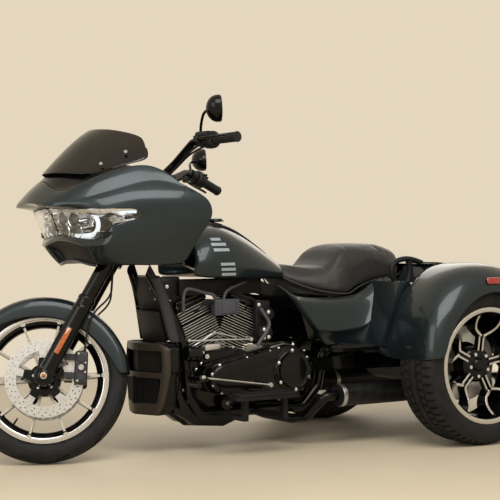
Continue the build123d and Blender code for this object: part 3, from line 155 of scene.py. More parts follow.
def patterned(name, dark, light, scale, detail=2.0, kind=noise, span=(0.35, 0.65), rough=None, depth=None,
              strength=1.0, **sockets):
    """A finish whose colour, and where asked its roughness and relief, follow one pattern."""
    material, tree, shader, place = start_material(name, **sockets)
    pattern = noise(tree, place, scale, detail) if kind is noise else cells(tree, place, scale)
    two_tone(tree, shader, pattern, dark, light, span)
    if rough:
        roughen(tree, shader, pattern, *rough)
    if depth:
        relief(tree, shader, pattern, depth, strength)
    return material


def metallic_enamel():
    """Base coat with fine metal flakes under a deep clear coat: dark teal grey with a soft inner sparkle."""
    material, tree, shader, place = start_material(
        "metallic_enamel", Metallic=0.7, Roughness=0.36, Specular_IOR_Level=0.3, Coat_Weight=0.8, Coat_Roughness=0.08,
        Coat_IOR=1.36)
    # Flakes of about 0.05 mm are drawn at 2 mm, as coarse as they need to show
    flakes = cells(tree, place, 500.0)
    two_tone(tree, shader, flakes, "#2e3a3f", "#1a2226", (0.1, 0.8))
    # The clear coat has a faint orange peel, 12 mm from crest to crest
    relief(tree, shader, noise(tree, place, 80.0, 1.0), 0.00006, socket="Coat Normal")
    relief(tree, shader, flakes, 0.0001, 0.25)
    return material


def moulded_rubber():
    """Tyre and hose rubber: deep grey-black, matte, with a light bloom."""
    material, tree, shader, place = start_material("moulded_rubber", Roughness=0.7, Specular_IOR_Level=0.25)
    bloom = noise(tree, place, 22.0, 6.0)
    two_tone(tree, shader, bloom, "#161617", "#232324")
    roughen(tree, shader, bloom, 0.6, 0.85)
    relief(tree, shader, noise(tree, place, 900.0), 0.0001, 0.6)
    return material


def seat_leather():
    """Leather-grained seat vinyl: charcoal with a brown cast, a soft sheen and a 2 mm grain."""
    material, tree, shader, place = start_material(
        "seat_leather", Roughness=0.5, Specular_IOR_Level=0.35, Sheen_Weight=0.25, Sheen_Roughness=0.4)
    shade = noise(tree, place, 9.0, 4.0)
    two_tone(tree, shader, shade, "#201f20", "#2b2a2a")
    roughen(tree, shader, shade, 0.42, 0.56)
    relief(tree, shader, cells(tree, place, 500.0, "DISTANCE_TO_EDGE"), 0.0004, 0.5)
    return material


def running_light():
    """A lit diffuser strip: cool white that glows evenly."""
    material, tree, shader, place = start_material("running_light", Roughness=0.3, Emission_Strength=0.75)
    two_tone(tree, shader, noise(tree, place, 40.0), "#c9d6e4", "#eef5fb", socket="Emission Color")
    shader.inputs["Base Color"].default_value = linear("#dfe8f0")
    return material


def louvred_core():
    """A radiator's core: black fins 3 mm apart, drawn upright as bands, darker between the fins and lighter on their
    edges.
    """
    material, tree, shader, place = start_material("louvred_core", Roughness=0.6, Specular_IOR_Level=0.15)
    fins = add_node(tree, "ShaderNodeTexWave", {"Scale": 100.0, "bands_direction": "Y"}, {"Vector": place})
    two_tone(tree, shader, fins.outputs["Fac"], "#060606", "#26221e")
    relief(tree, shader, fins.outputs["Fac"], 0.002)
    return material


MAKERS = {"enamel": metallic_enamel, "rubber": moulded_rubber, "leather": seat_leather, "light": running_light,
          "core": louvred_core}
# Short name: material, dark and light tone, pattern's scale, then what else differs
SHEETS = {
    # Gloss black enamel on castings and tubes: a mirror-like coat with a little dust
    "black": ("black_enamel", "#040405", "#0b0c0d", 35.0, {
        "detail": 5.0, "rough": (0.12, 0.3), "Roughness": 0.2, "Specular_IOR_Level": 0.1, "Coat_Weight": 0.3,
        "Coat_Roughness": 0.04}),
    # Baked powder coat: satin black with a pebble of 1.5 mm from the powder
    "powder": ("black_powder_coat", "#0c0c0d", "#191a1b", 650.0, {
        "rough": (0.35, 0.55), "depth": 0.0002, "Roughness": 0.4, "Specular_IOR_Level": 0.22}),
    # Satin dark grey paint of the frame's front tubes, with a dull even sheen
    "grey": ("satin_grey_paint", "#2c2c2f", "#3d3d41", 300.0, {
        "detail": 3.0, "depth": 0.0001, "Metallic": 0.2, "Roughness": 0.42, "Specular_IOR_Level": 0.3}),
    # Aluminium cut on a lathe, pale and warm: its tool marks, 0.1 mm apart, are drawn 2 mm apart
    "alloy": ("machined_alloy", "#b6b5b3", "#dad9d6", 500.0, {
        "rough": (0.18, 0.32), "Metallic": 1.0, "Roughness": 0.24}),
    # Chromium plate: bright neutral mirror with faint smears
    "chrome": ("chrome_plate", "#c9cacc", "#e4e5e7", 60.0, {
        "detail": 3.0, "rough": (0.04, 0.16), "Metallic": 1.0, "Roughness": 0.08}),
    # Stainless steel ground flat: satin silver with a cross-hatched grind
    "steel": ("ground_stainless", "#b4b5b6", "#d8d9da", 420.0, {
        "detail": 4.0, "rough": (0.26, 0.42), "Metallic": 1.0, "Roughness": 0.34}),
    # Sand-cast aluminium, tumbled: dull grey with a grainy skin
    "cast": ("cast_aluminium", "#5d5e60", "#7d7e80", 520.0, {
        "detail": 5.0, "depth": 0.0002, "Metallic": 0.85, "Roughness": 0.5}),
    # ABS moulded in a grained tool: matte black with a leathery pebble of 1.2 mm
    "abs": ("grained_abs", "#121213", "#1d1d1e", 830.0, {
        "kind": cells, "depth": 0.0002, "strength": 0.5, "Roughness": 0.5, "Specular_IOR_Level": 0.22}),
    # Smoked acrylic sheet: brown-black, see-through at the edge, glossy on both faces
    "smoke": ("smoked_acrylic", "#1b1714", "#231e1a", 6.0, {
        "Roughness": 0.03, "IOR": 1.49, "Transmission_Weight": 0.72}),
    # Hard-coated polycarbonate: clear and glossy, with a trace of haze
    "clear": ("clear_polycarbonate", "#f2f5f7", "#ffffff", 12.0, {
        "Roughness": 0.02, "IOR": 1.45, "Transmission_Weight": 1.0}),
    # Copper-plated steel: warm brown-red metal, lightly dulled
    "copper": ("copper_plate", "#8a5a3c", "#b98462", 150.0, {"Metallic": 1.0, "Roughness": 0.3}),
    # Silver-blue vinyl film on the tank: satin, with a slight metallic grain
    "vinyl": ("silver_vinyl", "#8e9ea9", "#aebcc5", 400.0, {"Metallic": 0.3, "Roughness": 0.3, "Coat_Weight": 0.6}),
    # Glass-filled nylon, moulded grey: dull, with a faint flow grain
    "grey_plastic": ("grey_moulded_plastic", "#3a3c42", "#4a4c53", 260.0, {
        "detail": 3.0, "depth": 0.0001, "Roughness": 0.5}),
    # Braided vent hose, dusty grey: a weave 2 mm across in a soft sleeve
    "hose": ("grey_hose", "#3c3d40", "#57585b", 500.0, {"kind": cells, "depth": 0.0003, "Roughness": 0.6}),
    # Satin paint on the radiator cowl: warm grey-black with a fine even grain
    "cowl": ("satin_cowl_paint", "#29231d", "#373029", 420.0, {
        "detail": 3.0, "depth": 0.0001, "Roughness": 0.4, "Specular_IOR_Level": 0.3}),
    # Heat-proof satin black on the silencers, a little chalky
    "satin": ("satin_black_exhaust", "#111112", "#1f1f20", 30.0, {
        "detail": 6.0, "rough": (0.3, 0.48), "Roughness": 0.34, "Specular_IOR_Level": 0.3}),
    # Coloured acrylic over a prismatic back: deep colour with painted glints, each facet 4 mm wide painted brighter at
    # its middle and darker at its edge
    "amber": ("amber_acrylic", "#d9711c", "#8e3a06", 250.0, {
        "kind": cells, "span": (0.0, 0.8), "Roughness": 0.12, "Coat_Weight": 1.0, "Coat_Roughness": 0.03}),
    # Red acrylic: the same painted glints on its 4 mm facets, brighter at each middle
    "red": ("red_acrylic", "#c8160e", "#6e0404", 250.0, {
        "kind": cells, "span": (0.0, 0.8), "Roughness": 0.12, "Coat_Weight": 1.0, "Coat_Roughness": 0.03}),
}
FINISHES = {}


def finish(name):
    """The material of that short name, made once."""
    if name not in FINISHES:
        if name in MAKERS:
            FINISHES[name] = MAKERS[name]()
        else:
            *values, others = SHEETS[name]
            FINISHES[name] = patterned(*values, **others)
    return FINISHES[name]


def dress(node, name):
    """Gives a node of the frame a finish; its shape stays."""
    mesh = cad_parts[node].data
    mesh.materials.clear()
    mesh.materials.append(finish(name))


# Shapes

def tint(verts, material):
    """Gives the faces round some corners a material slot, and returns them."""
    faces = {face for vert in verts for face in vert.link_faces}
    for face in faces:
        face.material_index = material
    return faces


def grown(bm, faces, vec, keep=False):
    """Extrudes faces and moves the new ones by a vector; returns their corners."""
    made = bmesh.ops.extrude_face_region(bm, geom=faces, use_keep_orig=keep)["geom"]
    verts = [item for item in made if isinstance(item, bmesh.types.BMVert)]
    bmesh.ops.translate(bm, verts=verts, vec=vec)
    return verts


def close_ends(bm, sides=120):
    """Merges a sheet's seam and fills its open ends."""
    bmesh.ops.remove_doubles(bm, verts=bm.verts, dist=1e-5)
    bmesh.ops.holes_fill(bm, edges=[edge for edge in bm.edges if edge.is_boundary], sides=sides)


def grid_of(bm, rows):
    """A sheet of faces through rows of places; returns its corners in the same rows."""
    across = len(rows[0])
    made = bmesh.ops.create_grid(bm, x_segments=across - 1, y_segments=len(rows) - 1, size=1)["verts"]
    for index, vert in enumerate(made):
        vert.co = at(*rows[index // across][index % across])
    return [made[start:start + across] for start in range(0, len(made), across)]


def crease(bm, verts, weight=1.0):
    """Holds a line of edges sharp under a subdivision surface."""
    layer = bm.edges.layers.float.get("crease_edge") or bm.edges.layers.float.new("crease_edge")
    for first, second in zip(verts, verts[1:]):
        edge = bm.edges.get((first, second))
        if edge:
            edge[layer] = weight


def cut_window(bm, rows, row_span, column_span):
    """Takes out the faces between two rows and two columns of a sheet."""
    inside = {vert for row in rows[row_span[0]:row_span[1] + 1] for vert in row[column_span[0]:column_span[1] + 1]}
    gone = [face for face in bm.faces if all(vert in inside for vert in face.verts)]
    bmesh.ops.delete(bm, geom=gone, context="FACES")


def spun(bm, profile, centre, axis=ACROSS, steps=72, material=0, start=Vector((-1, 0, 0)), out=1):
    """Turns a profile of (radius, along the axis) round an axis, from a starting direction."""
    before = set(bm.faces)
    verts = [bm.verts.new(centre + start * radius + axis * (along * out)) for radius, along in profile]
    edges = [bm.edges.new(pair) for pair in zip(verts, verts[1:])]
    bmesh.ops.spin(bm, geom=verts + edges, cent=centre, axis=axis, angle=2 * pi, steps=steps, use_merge=True)
    made = [face for face in bm.faces if face not in before]
    for face in made:
        face.material_index = material
    return made


def rod(bm, start, end, radius, tip=None, sides=20, material=0):
    """A round bar or cone between two points."""
    line = end - start
    turn = line.to_track_quat("Z", "Y").to_matrix().to_4x4()
    made = bmesh.ops.create_cone(
        bm, cap_ends=True, segments=sides, radius1=radius, radius2=radius if tip is None else tip,
        depth=line.length, matrix=Matrix.Translation((start + end) / 2) @ turn)["verts"]
    tint(made, material)


def block(bm, centre, size, turn=None, material=0):
    """A box of a size about a point, turned by a matrix."""
    shape = Matrix.Translation(centre) @ (turn or STRAIGHT) @ Matrix.Diagonal((*size, 1))
    made = bmesh.ops.create_cube(bm, size=1, matrix=shape)["verts"]
    tint(made, material)
    return made


def plate(bm, outline, low, high):
    """A plate cut to an outline of (ahead, height) in millimetres, from one side distance to another."""
    face = bm.faces.new([bm.verts.new(at(ahead, low, height)) for ahead, height in metres(outline)])
    grown(bm, [face], (0, high - low, 0))


def round_off(bm, edges, width, segments):
    """Rounds some edges."""
    bmesh.ops.bevel(bm, geom=edges, offset=width, offset_type="OFFSET", segments=segments, profile=0.5,
                    affect="EDGES", clamp_overlap=True, material=-1)


def soften(bm, width, segments=2):
    """Rounds the edges that turn by more than 30 degrees."""
    round_off(bm, [edge for edge in bm.edges if edge.is_manifold and edge.calc_face_angle(0) > radians(30)],
              width, segments)


def mirrored(bm):
    """Adds the other side's copy of what stands on the left."""
    geom = bm.verts[:] + bm.edges[:] + bm.faces[:]
    bmesh.ops.mirror(bm, geom=geom, matrix=STRAIGHT, merge_dist=1e-4, axis="Y")


def rides(made, body, replaces):
    """Lets an object ride on its body and stand for nodes of the frame."""
    bpy.context.scene.collection.objects.link(made)
    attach(made, body)
    if replaces:
        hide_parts(*replaces)
    return made


def settle(name, bm, finishes, body="chassis", levels=0, wall=0.0, sharp=35, replaces=(), bevel=0.0):
    """Writes a finished mesh to its object, with its materials, and lets it ride on its body."""
    bmesh.ops.remove_doubles(bm, verts=bm.verts, dist=1e-5)
    bmesh.ops.recalc_face_normals(bm, faces=bm.faces)
    bmesh.ops.transform(bm, matrix=parked(body), verts=bm.verts)
    mesh = bpy.data.meshes.new(name)
    bm.to_mesh(mesh)
    bm.free()
    for short in finishes.split():
        mesh.materials.append(finish(short))
    mesh.shade_smooth()
    mesh.set_sharp_from_angle(angle=radians(sharp))
    made = bpy.data.objects.new(name, mesh)
    if wall:
        sheet = made.modifiers.new("wall", "SOLIDIFY")
        sheet.thickness = wall
        sheet.offset = -1
    if bevel:
        rounding = made.modifiers.new("edges", "BEVEL")
        rounding.width = bevel
        rounding.segments = 2
        rounding.limit_method = "ANGLE"
    if levels:
        smooth = made.modifiers.new("surface", "SUBSURF")
        smooth.levels = smooth.render_levels = levels
    return rides(made, body, replaces)


def hose(name, points, radius, short, body="chassis", replaces=()):
    """A bent tube or line through control points, as a smooth curve with a round section."""
    curve = bpy.data.curves.new(name, "CURVE")
    curve.dimensions = "3D"
    curve.bevel_depth = radius
    curve.bevel_resolution = 4
    curve.resolution_u = 10
    curve.use_fill_caps = True
    spline = curve.splines.new("NURBS")
    spline.points.add(len(points) - 1)
    for point, where in zip(spline.points, points):
        point.co = (*(parked(body) @ at(*where)), 1)
    spline.order_u = 3
    spline.use_endpoint_u = True
    curve.materials.append(finish(short))
    return rides(bpy.data.objects.new(name, curve), body, replaces)


def both_hoses(name, points, radius, short, body="chassis", replaces=()):
    """The same tube on both sides, from places in millimetres on the left."""
    for side, hand in SIDES:
        hose(name + hand, moved(metres(points), wide=side), radius, short, body, replaces)


# Sizes and colours that a user would change

def length(name, default, description):
    """A length that a user would change, in metres."""
    return bpy.props.FloatProperty(name=name, description=description, default=default, unit="LENGTH")


def colour(name, code, description):
    """A colour that a user would change."""
    return bpy.props.FloatVectorProperty(
        name=name, description=description, subtype="COLOR", size=3, default=linear(code)[:3], min=0, max=1)


class TrikeStage(bpy.types.PropertyGroup):
    floor_colour: colour("Floor colour", "#d6c8ae", "Colour of the plain floor")
    backdrop_colour: colour("Backdrop colour", "#e5d7bf", "Colour behind the trike, as the camera and the gloss see it")
    key_power: bpy.props.FloatProperty(
        name="Key light", description="Power of the large lamp overhead", default=128.0, min=0, unit="POWER")
    lens: bpy.props.FloatProperty(
        name="Lens", description="Focal length for a 36 mm sensor, in millimetres", default=106.52, min=10)


class TrikeFront(bpy.types.PropertyGroup):
    fender_radius: length("Fender radius", 0.332, "Crown of the front fender, from the axle")
    fender_half: length("Fender half width", 0.0742, "Half the front fender's width")
    spokes: bpy.props.IntProperty(name="Spokes", description="Spokes of the front wheel", default=10, min=5, max=20)
    tyre_radius: length("Tyre radius", 0.3183, "Front tyre's outer radius")
    tyre_half: length("Tyre half width", 0.065, "Half the front tyre's width")
    disc_radius: length("Disc radius", 0.15, "Front brake disc's radius")


class TrikeRear(bpy.types.PropertyGroup):
    tyre_radius: length("Tyre radius", 0.325, "Rear tyre's outer radius")
    tyre_half: length("Tyre half width", 0.1075, "Half the rear tyre's width")
    stalks: bpy.props.IntProperty(
        name="Stalks", description="Forked spokes of each rear wheel", default=5, min=3, max=8)
    fender_wall: length("Fender wall", 0.004, "Thickness of the rear fenders")


class TrikeBody(bpy.types.PropertyGroup):
    screen_wall: length("Screen wall", 0.004, "Thickness of the windscreen")
    panel_wall: length("Panel wall", 0.003, "Thickness of the moulded panels")
    cushion_swell: length("Cushion swell", 0.008, "Most that the seat's foam swells")
    fins: bpy.props.IntProperty(name="Fins", description="Cooling fins on each cylinder", default=15, min=6, max=24)


# Stage

class TRIKE_OT_stage(bpy.types.Operator):
    """Floor, light, backdrop and the camera at the photograph's place"""
    bl_idname = "trike.stage"
    bl_label = "Stage"

    def execute(self, context):
        sizes = context.scene.trike_stage
        scene = context.scene
        yaw, pitch, roll = 0.564464, -0.009383, -0.009901
        ahead = Vector((-sin(yaw) * cos(pitch), -cos(yaw) * cos(pitch), sin(pitch)))
        level = ahead.cross(UP).normalized()
        upright = level.cross(ahead)
        right = level * cos(roll) + upright * sin(roll)
        up = upright * cos(roll) - level * sin(roll)
        camera = bpy.data.objects.new("camera", bpy.data.cameras.new("camera"))
        camera.matrix_world = (Matrix.Translation(at(4.0433, 5.2245, 0.8626))
                               @ Matrix((right, up, -ahead)).transposed().to_4x4())
        camera.data.lens = sizes.lens
        scene.collection.objects.link(camera)
        scene.camera = camera

        bm = bmesh.new()
        bmesh.ops.create_circle(bm, cap_ends=True, segments=128, radius=3.4)
        mesh = bpy.data.meshes.new("floor")
        bm.to_mesh(mesh)
        bm.free()
        floor = bpy.data.objects.new("floor", mesh)
        scene.collection.objects.link(floor)
        # Smooth matte screed, a little mottled
        material, tree, shader, place = start_material("screed", Roughness=0.5)
        mottle = add_node(tree, "ShaderNodeTexNoise", {"Scale": 1.5, "Detail": 6.0}, {"Vector": place})
        base = Vector(sizes.floor_colour)
        two_tone(tree, shader, mottle.outputs["Fac"], (*(base * 0.94), 1), (*base, 1))
        mesh.materials.append(material)

        world = bpy.data.worlds.new("studio")
        scene.world = world
        world.use_nodes = True
        tree = world.node_tree
        ground = tree.nodes["Background"]
        ground.inputs["Color"].default_value = linear("#f3efe8")
        ground.inputs["Strength"].default_value = 0.45
        seen = add_node(tree, "ShaderNodeBackground", {"Color": (*sizes.backdrop_colour, 1), "Strength": 1.0})
        path = add_node(tree, "ShaderNodeLightPath")
        gloss = add_node(tree, "ShaderNodeMath", {"operation": "MAXIMUM"})
        tree.links.new(path.outputs["Is Camera Ray"], gloss.inputs[0])
        tree.links.new(path.outputs["Is Transmission Ray"], gloss.inputs[1])
        every = add_node(tree, "ShaderNodeMath", {"operation": "MAXIMUM"})
        tree.links.new(gloss.outputs[0], every.inputs[0])
        tree.links.new(path.outputs["Is Glossy Ray"], every.inputs[1])
        mix = add_node(tree, "ShaderNodeMixShader", links={
            0: every.outputs[0], 1: ground.outputs[0], 2: seen.outputs[0]})
        tree.links.new(mix.outputs[0], tree.nodes["World Output"].inputs["Surface"])

        lamps = [
            ("key", at(1.6, 2.6, 3.4), at(0.7, 0, 0.5), (3.4, 2.2), sizes.key_power),
            ("front", at(4.2, 1.2, 1.8), at(1.2, 0, 0.6), (2.0, 2.0), 32.0),
            ("back", at(-1.8, -2.6, 2.6), at(0.4, 0, 0.6), (3.0, 2.0), 26.0),
        ]
        for name, where, target, size, power in lamps:
            lamp = bpy.data.lights.new(name, "AREA")
            lamp.shape = "RECTANGLE"
            lamp.size, lamp.size_y = size
            lamp.energy = power
            lamp.color = linear("#fffcf7")[:3]
            holder = bpy.data.objects.new(name, lamp)
            holder.matrix_world = (Matrix.Translation(where)
                                   @ (where - target).to_track_quat("Z", "Y").to_matrix().to_4x4())
            scene.collection.objects.link(holder)
        scene.view_settings.view_transform = "Standard"
        return {"FINISHED"}


# Front wheel and fork

FRONT_TYRE_STEPS = 144


def ring_lines(bm, centre, radius, sides):
    """A round edge loop in the plane across the wheel's axis."""
    shape = Matrix.Translation(centre) @ Matrix.Rotation(pi / 2, 4, "X")
    verts = bmesh.ops.create_circle(bm, segments=sides, radius=radius, matrix=shape)["verts"]
    return list({edge for vert in verts for edge in vert.link_edges})


def polar(centre, radius, degrees, across=0.0):
    """A place on a wheel: a radius, an angle from straight ahead upwards, and a distance along the axle."""
    turn = radians(degrees)
    return centre + Vector((radius * cos(turn), across, radius * sin(turn)))


def wedge(bm, hub, angle, side, reaches, widths, outer, inner, material=0):
    """A block that tapers along a spoke, from its near and far reach, half width and outer height."""
    along = polar(Vector(), 1, angle)
    sideways = along.cross(ACROSS)
    verts = block(bm, hub, (1, 1, 1), material=material)
    for vert in verts:
        local = vert.co - hub
        far = local.x > 0
        vert.co = (hub + along * reaches[far] + sideways * (widths[far] if local.z > 0 else -widths[far])
                   + ACROSS * side * (outer[far] if local.y * side > 0 else inner))
    return verts


def strip_of(middle, steps):
    """Which of a wheel's strips round the axle a place off its hub lies in."""
    return int(atan2(middle.z, middle.x) % (2 * pi) / (2 * pi) * steps)


def both_ways(profile):
    """A closed profile from its half, which ends on the middle plane."""
    profile = profile + [(r, -y) for r, y in reversed(profile[:-1])]
    return profile + profile[:1]


class TRIKE_OT_front_wheel(bpy.types.Operator):
    """Front tyre, cast rim with machined spokes, and drilled brake discs"""
    bl_idname = "trike.front_wheel"
    bl_label = "Front Wheel"

    def execute(self, context):
        sizes = context.scene.trike_front
        hub = at(*FRONT_HUB)
        radius, half = sizes.tyre_radius, sizes.tyre_half
        bm = bmesh.new()
        # Round touring profile, from bead to bead over the crown
        made = spun(bm, both_ways([
            (0.2405, 0.0385), (0.249, 0.0425), (0.2525, 0.048), (0.26, 0.06), (0.27, half - 0.0008),
            (0.284, half - 0.001), (0.294, 0.0596), (0.301, 0.0488), (0.308, 0.0372), (0.3143, 0.024),
            (radius - 0.0008, 0.012), (radius, 0.0)]), hub, steps=FRONT_TYRE_STEPS)
        # Slanting tread grooves: every sixth strip is sunk, stepped across the crown
        sunk = []
        for face in made:
            middle = face.calc_center_median() - hub
            band = int(abs(middle.y) / 0.013)
            if 0.012 < abs(middle.y) < 0.052 and (strip_of(middle, FRONT_TYRE_STEPS) + 2 * band) % 12 in (0, 1):
                sunk.append(face)
        bmesh.ops.inset_region(bm, faces=sunk, thickness=0.0004, depth=-0.0035, use_even_offset=True)
        settle("front_tyre_rubber", bm, "rubber", "front_wheel", sharp=30, replaces=["front_tyre"])

        bm = bmesh.new()
        # Barrel, black outside the cut lips, then the hub boss and its flange
        for side in (1, -1):
            for profile, material in (
                    ([(203, 0), (204, 18), (212, 32), (223.5, 38.5), (223.5, 39.5)], 0),
                    ([(223.5, 39.5), (226.2, 42), (230, 42.8), (231, 46.5), (241.5, 47.5), (247, 46.2), (248, 41.5),
                      (248, 40)], 1),
                    ([(248, 40), (240, 38.5), (240, 0)], 0),
                    ([(0, 60), (23, 60), (24.5, 58.5), (40, 56), (40, 22), (60, 17), (64, 13), (64, 0)], 0)):
                spun(bm, metres(profile), hub, material=material, out=side)
        for index in range(sizes.spokes):
            angle = 360 * index / sizes.spokes
            for side in (1, -1):
                spoke = wedge(bm, hub, angle, side, (0.056, 0.215), (0.0058, 0.0046), (0.02, 0.033), 0.0002)
                for face in {face for vert in spoke for face in vert.link_faces}:
                    if abs(face.calc_center_median().y) > 0.024:
                        face.material_index = 1
                # The cut pad where the spoke meets the lip
                wedge(bm, hub, angle, side, (0.219, 0.231), (0.006, 0.013), (0.0434, 0.0434), 0.031, material=1)
        # Valve stem
        rod(bm, polar(hub, 0.206, -52, 0.01), polar(hub, 0.178, -52, 0.018), 0.004, 0.0032)
        settle("front_rim_cast", bm, "black alloy", "front_wheel", replaces=["front_rim"], bevel=0.0008)

        bm = bmesh.new()
        for side in (1, -1):
            face_at = hub + ACROSS * side * 0.064
            edges = ring_lines(bm, face_at, sizes.disc_radius, 96) + ring_lines(bm, face_at, 0.107, 72)
            holes = 30
            for reach, shift in ((0.142, 0), (0.131, 6), (0.1185, 3)):
                for index in range(holes):
                    edges += ring_lines(bm, polar(face_at, reach, shift + 360 * index / holes), 0.0031, 8)
            flat = bmesh.ops.triangle_fill(bm, use_beauty=True, edges=edges, normal=ACROSS)["geom"]
            flat = [item for item in flat if isinstance(item, bmesh.types.BMFace)]
            bmesh.ops.translate(bm, verts=list({vert for face in flat for vert in face.verts}), vec=(0, -0.0024, 0))
            grown(bm, flat, (0, 0.0048, 0), keep=True)
            # Black carrier with five lobed arms and their drive buttons
            spun(bm, metres([(28.5, 62.8), (28.5, 67), (52, 67), (52, 62.8), (28.5, 62.8)]), hub, steps=48, material=1,
                 out=side)
            for index in range(5):
                angle = 18 + 72 * index
                along = polar(Vector(), 1, angle)
                block(bm, hub + along * 0.096 + ACROSS * side * 0.0665, (0.03, 0.005, 0.027),
                      Matrix.Rotation(-radians(angle), 4, "Y"))
                button = hub + along * 0.094
                rod(bm, button + ACROSS * side * 0.069, button + ACROSS * side * 0.0715, 0.0065, sides=24)
                wedge(bm, hub, angle, side, (0.048, 0.102), (0.021, 0.0125), (0.0668, 0.0668), 0.0628, material=1)
                lobe = polar(hub, 0.105, angle, side * 0.0648)
                rod(bm, lobe - ACROSS * 0.0023, lobe + ACROSS * 0.0023, 0.015, sides=28)
                rod(bm, lobe - ACROSS * 0.0035, lobe + ACROSS * 0.0035, 0.0062, sides=16, material=2)
                screw = polar(hub, 0.042, angle, side * 0.067)
                rod(bm, screw, screw + ACROSS * side * 0.0045, 0.0058, sides=6, material=2)
        settle("front_discs_drilled", bm, "steel black chrome", "front_wheel", replaces=["front_discs"])
        return {"FINISHED"}


class TRIKE_OT_front_fender(bpy.types.Operator):
    """Front fender: a rounded crown over the tyre with skirts that deepen at the fork"""
    bl_idname = "trike.front_fender"
    bl_label = "Front Fender"

    def execute(self, context):
        sizes = context.scene.trike_front
        hub = Vector(FRONT_HUB)
        crown, half = sizes.fender_radius, sizes.fender_half
        # The skirt's lower edge, as its radius at each angle from the rear, upwards
        skirt = [(0, 0.287), (6, 0.276), (14, 0.264), (30, 0.25), (50, 0.243), (68, 0.241), (90, 0.243), (110, 0.255),
                 (128, 0.27), (140, 0.281), (145, 0.292)]
        rows = []
        for degrees, low in skirt:
            section = [(low, half - 0.0005), (low + 0.01, half), ((low + crown - 0.02) / 2, half),
                       (crown - 0.026, half - 0.002), (crown - 0.011, half - 0.015), (crown - 0.0025, half - 0.042),
                       (crown, 0.0)]
            section += [(r, -y) for r, y in reversed(section[:-1])]
            turn = radians(180 - degrees)
            rows.append([(hub.x + r * cos(turn), y, hub.z + r * sin(turn)) for r, y in section])
        bm = bmesh.new()
        grid_of(bm, rows)
        settle("front_fender_pressing", bm, "enamel", "front_end", levels=3, wall=0.003,
               replaces=["front_fender"])
        bm = bmesh.new()
        # The stays behind the fork legs
        for side in (1, -1):
            for along in (0.25, 0.305):
                foot = at(FRONT_HUB[0] - along * sin(radians(32)), side * (half - 0.002),
                          hub.z + along * cos(radians(32)))
                out = ACROSS * side
                rod(bm, foot, foot + out * 0.016, 0.01, sides=16)
                rod(bm, foot + out * 0.002, foot + out * 0.0052, 0.015, sides=6, material=1)
        settle("front_fender_bolts", bm, "black chrome", "front_end")
        return {"FINISHED"}


class TRIKE_OT_fork(bpy.types.Operator):
    """Brake callipers, axle nuts, reflectors and the fork's collars"""
    bl_idname = "trike.fork"
    bl_label = "Fork and Callipers"

    def execute(self, context):
        hub = at(*FRONT_HUB)
        lean = radians(32)
        leg = Vector((-sin(lean), 0, cos(lean)))
        bm = bmesh.new()
        for side in (1, -1):
            foot = hub + ACROSS * side * 0.125
            # Axle clamp, slider flutes and the dust seal
            spun(bm, [(0.0125, 0.0272), (0.0362, 0.0272), (0.0372, 0.0245), (0.0372, -0.0245), (0.0362, -0.0272),
                      (0.0125, -0.0272)], foot, steps=40)
            spun(bm, [(0.0255, 0.328), (0.0335, 0.328), (0.0345, 0.334), (0.0335, 0.342), (0.0293, 0.346),
                      (0.0255, 0.346)], foot, axis=leg, steps=40, start=Vector((0, 1, 0)))
            spun(bm, [(0.0322, 0.28), (0.0336, 0.284), (0.0336, 0.3), (0.0322, 0.304)], foot, axis=leg, steps=40,
                 start=Vector((0, 1, 0)))
            # Reflector on the slider's outer face
            middle = foot + leg * 0.15
            turn = Matrix.Rotation(-lean, 4, "Y")
            block(bm, middle + ACROSS * side * 0.0315, (0.024, 0.006, 0.118), turn)
            block(bm, middle + ACROSS * side * 0.0348, (0.018, 0.0035, 0.108), turn, material=1)
        soften(bm, 0.001)
        settle("fork_fittings", bm, "black amber", "front_end")

        bm = bmesh.new()
        for side in (1, -1):
            end = hub + ACROSS * side * 0.1535
            rod(bm, end, end + ACROSS * side * 0.006, 0.0215, sides=32, material=1)
            rod(bm, end + ACROSS * side * 0.0055, end + ACROSS * side * 0.012, 0.0105, sides=6)
        soften(bm, 0.0008)
        settle("front_axle_nuts", bm, "copper black", "front_end")

        bm = bmesh.new()
        # The calliper: four bores in a bridge over the disc, behind the leg
        verts = block(bm, Vector(), (0.05, 0.046, 0.128))
        bmesh.ops.bevel(bm, geom=list({edge for vert in verts for edge in vert.link_edges}), offset=0.01,
                        segments=3, profile=0.5, affect="EDGES", clamp_overlap=True, material=-1)
        for height in (-0.036, 0.0, 0.036):
            rod(bm, Vector((0, -0.02, height)), Vector((0, 0.0265, height)), 0.0155, sides=24)
        for height in (-0.052, 0.052):
            rod(bm, Vector((0.012, 0.022, height)), Vector((0.012, 0.0285, height)), 0.0055, sides=6, material=1)
        for height in (-0.018, 0.018):
            rod(bm, Vector((-0.016, 0.021, height)), Vector((-0.016, 0.028, height)), 0.0045, sides=6, material=1)
        rod(bm, Vector((0, 0.0262, 0)), Vector((0, 0.029, 0)), 0.011, sides=32, material=1)
        for height in (-0.03, 0.04):
            block(bm, Vector((0.04, 0.008, height)), (0.05, 0.018, 0.022))
        place = Matrix.Translation(hub + Vector((-0.142, 0.069, 0.03))) @ Matrix.Rotation(radians(-6), 4, "Y")
        bmesh.ops.transform(bm, matrix=place, verts=bm.verts)
        mirrored(bm)
        settle("brake_calliper_bodies", bm, "grey chrome", "front_end", replaces=["brake_calipers"], bevel=0.001)
        for node, short in (("fork_legs", "black"), ("triple_clamps", "black"), ("front_axle", "steel")):
            dress(node, short)
        return {"FINISHED"}


# Fairing, screen and lamps

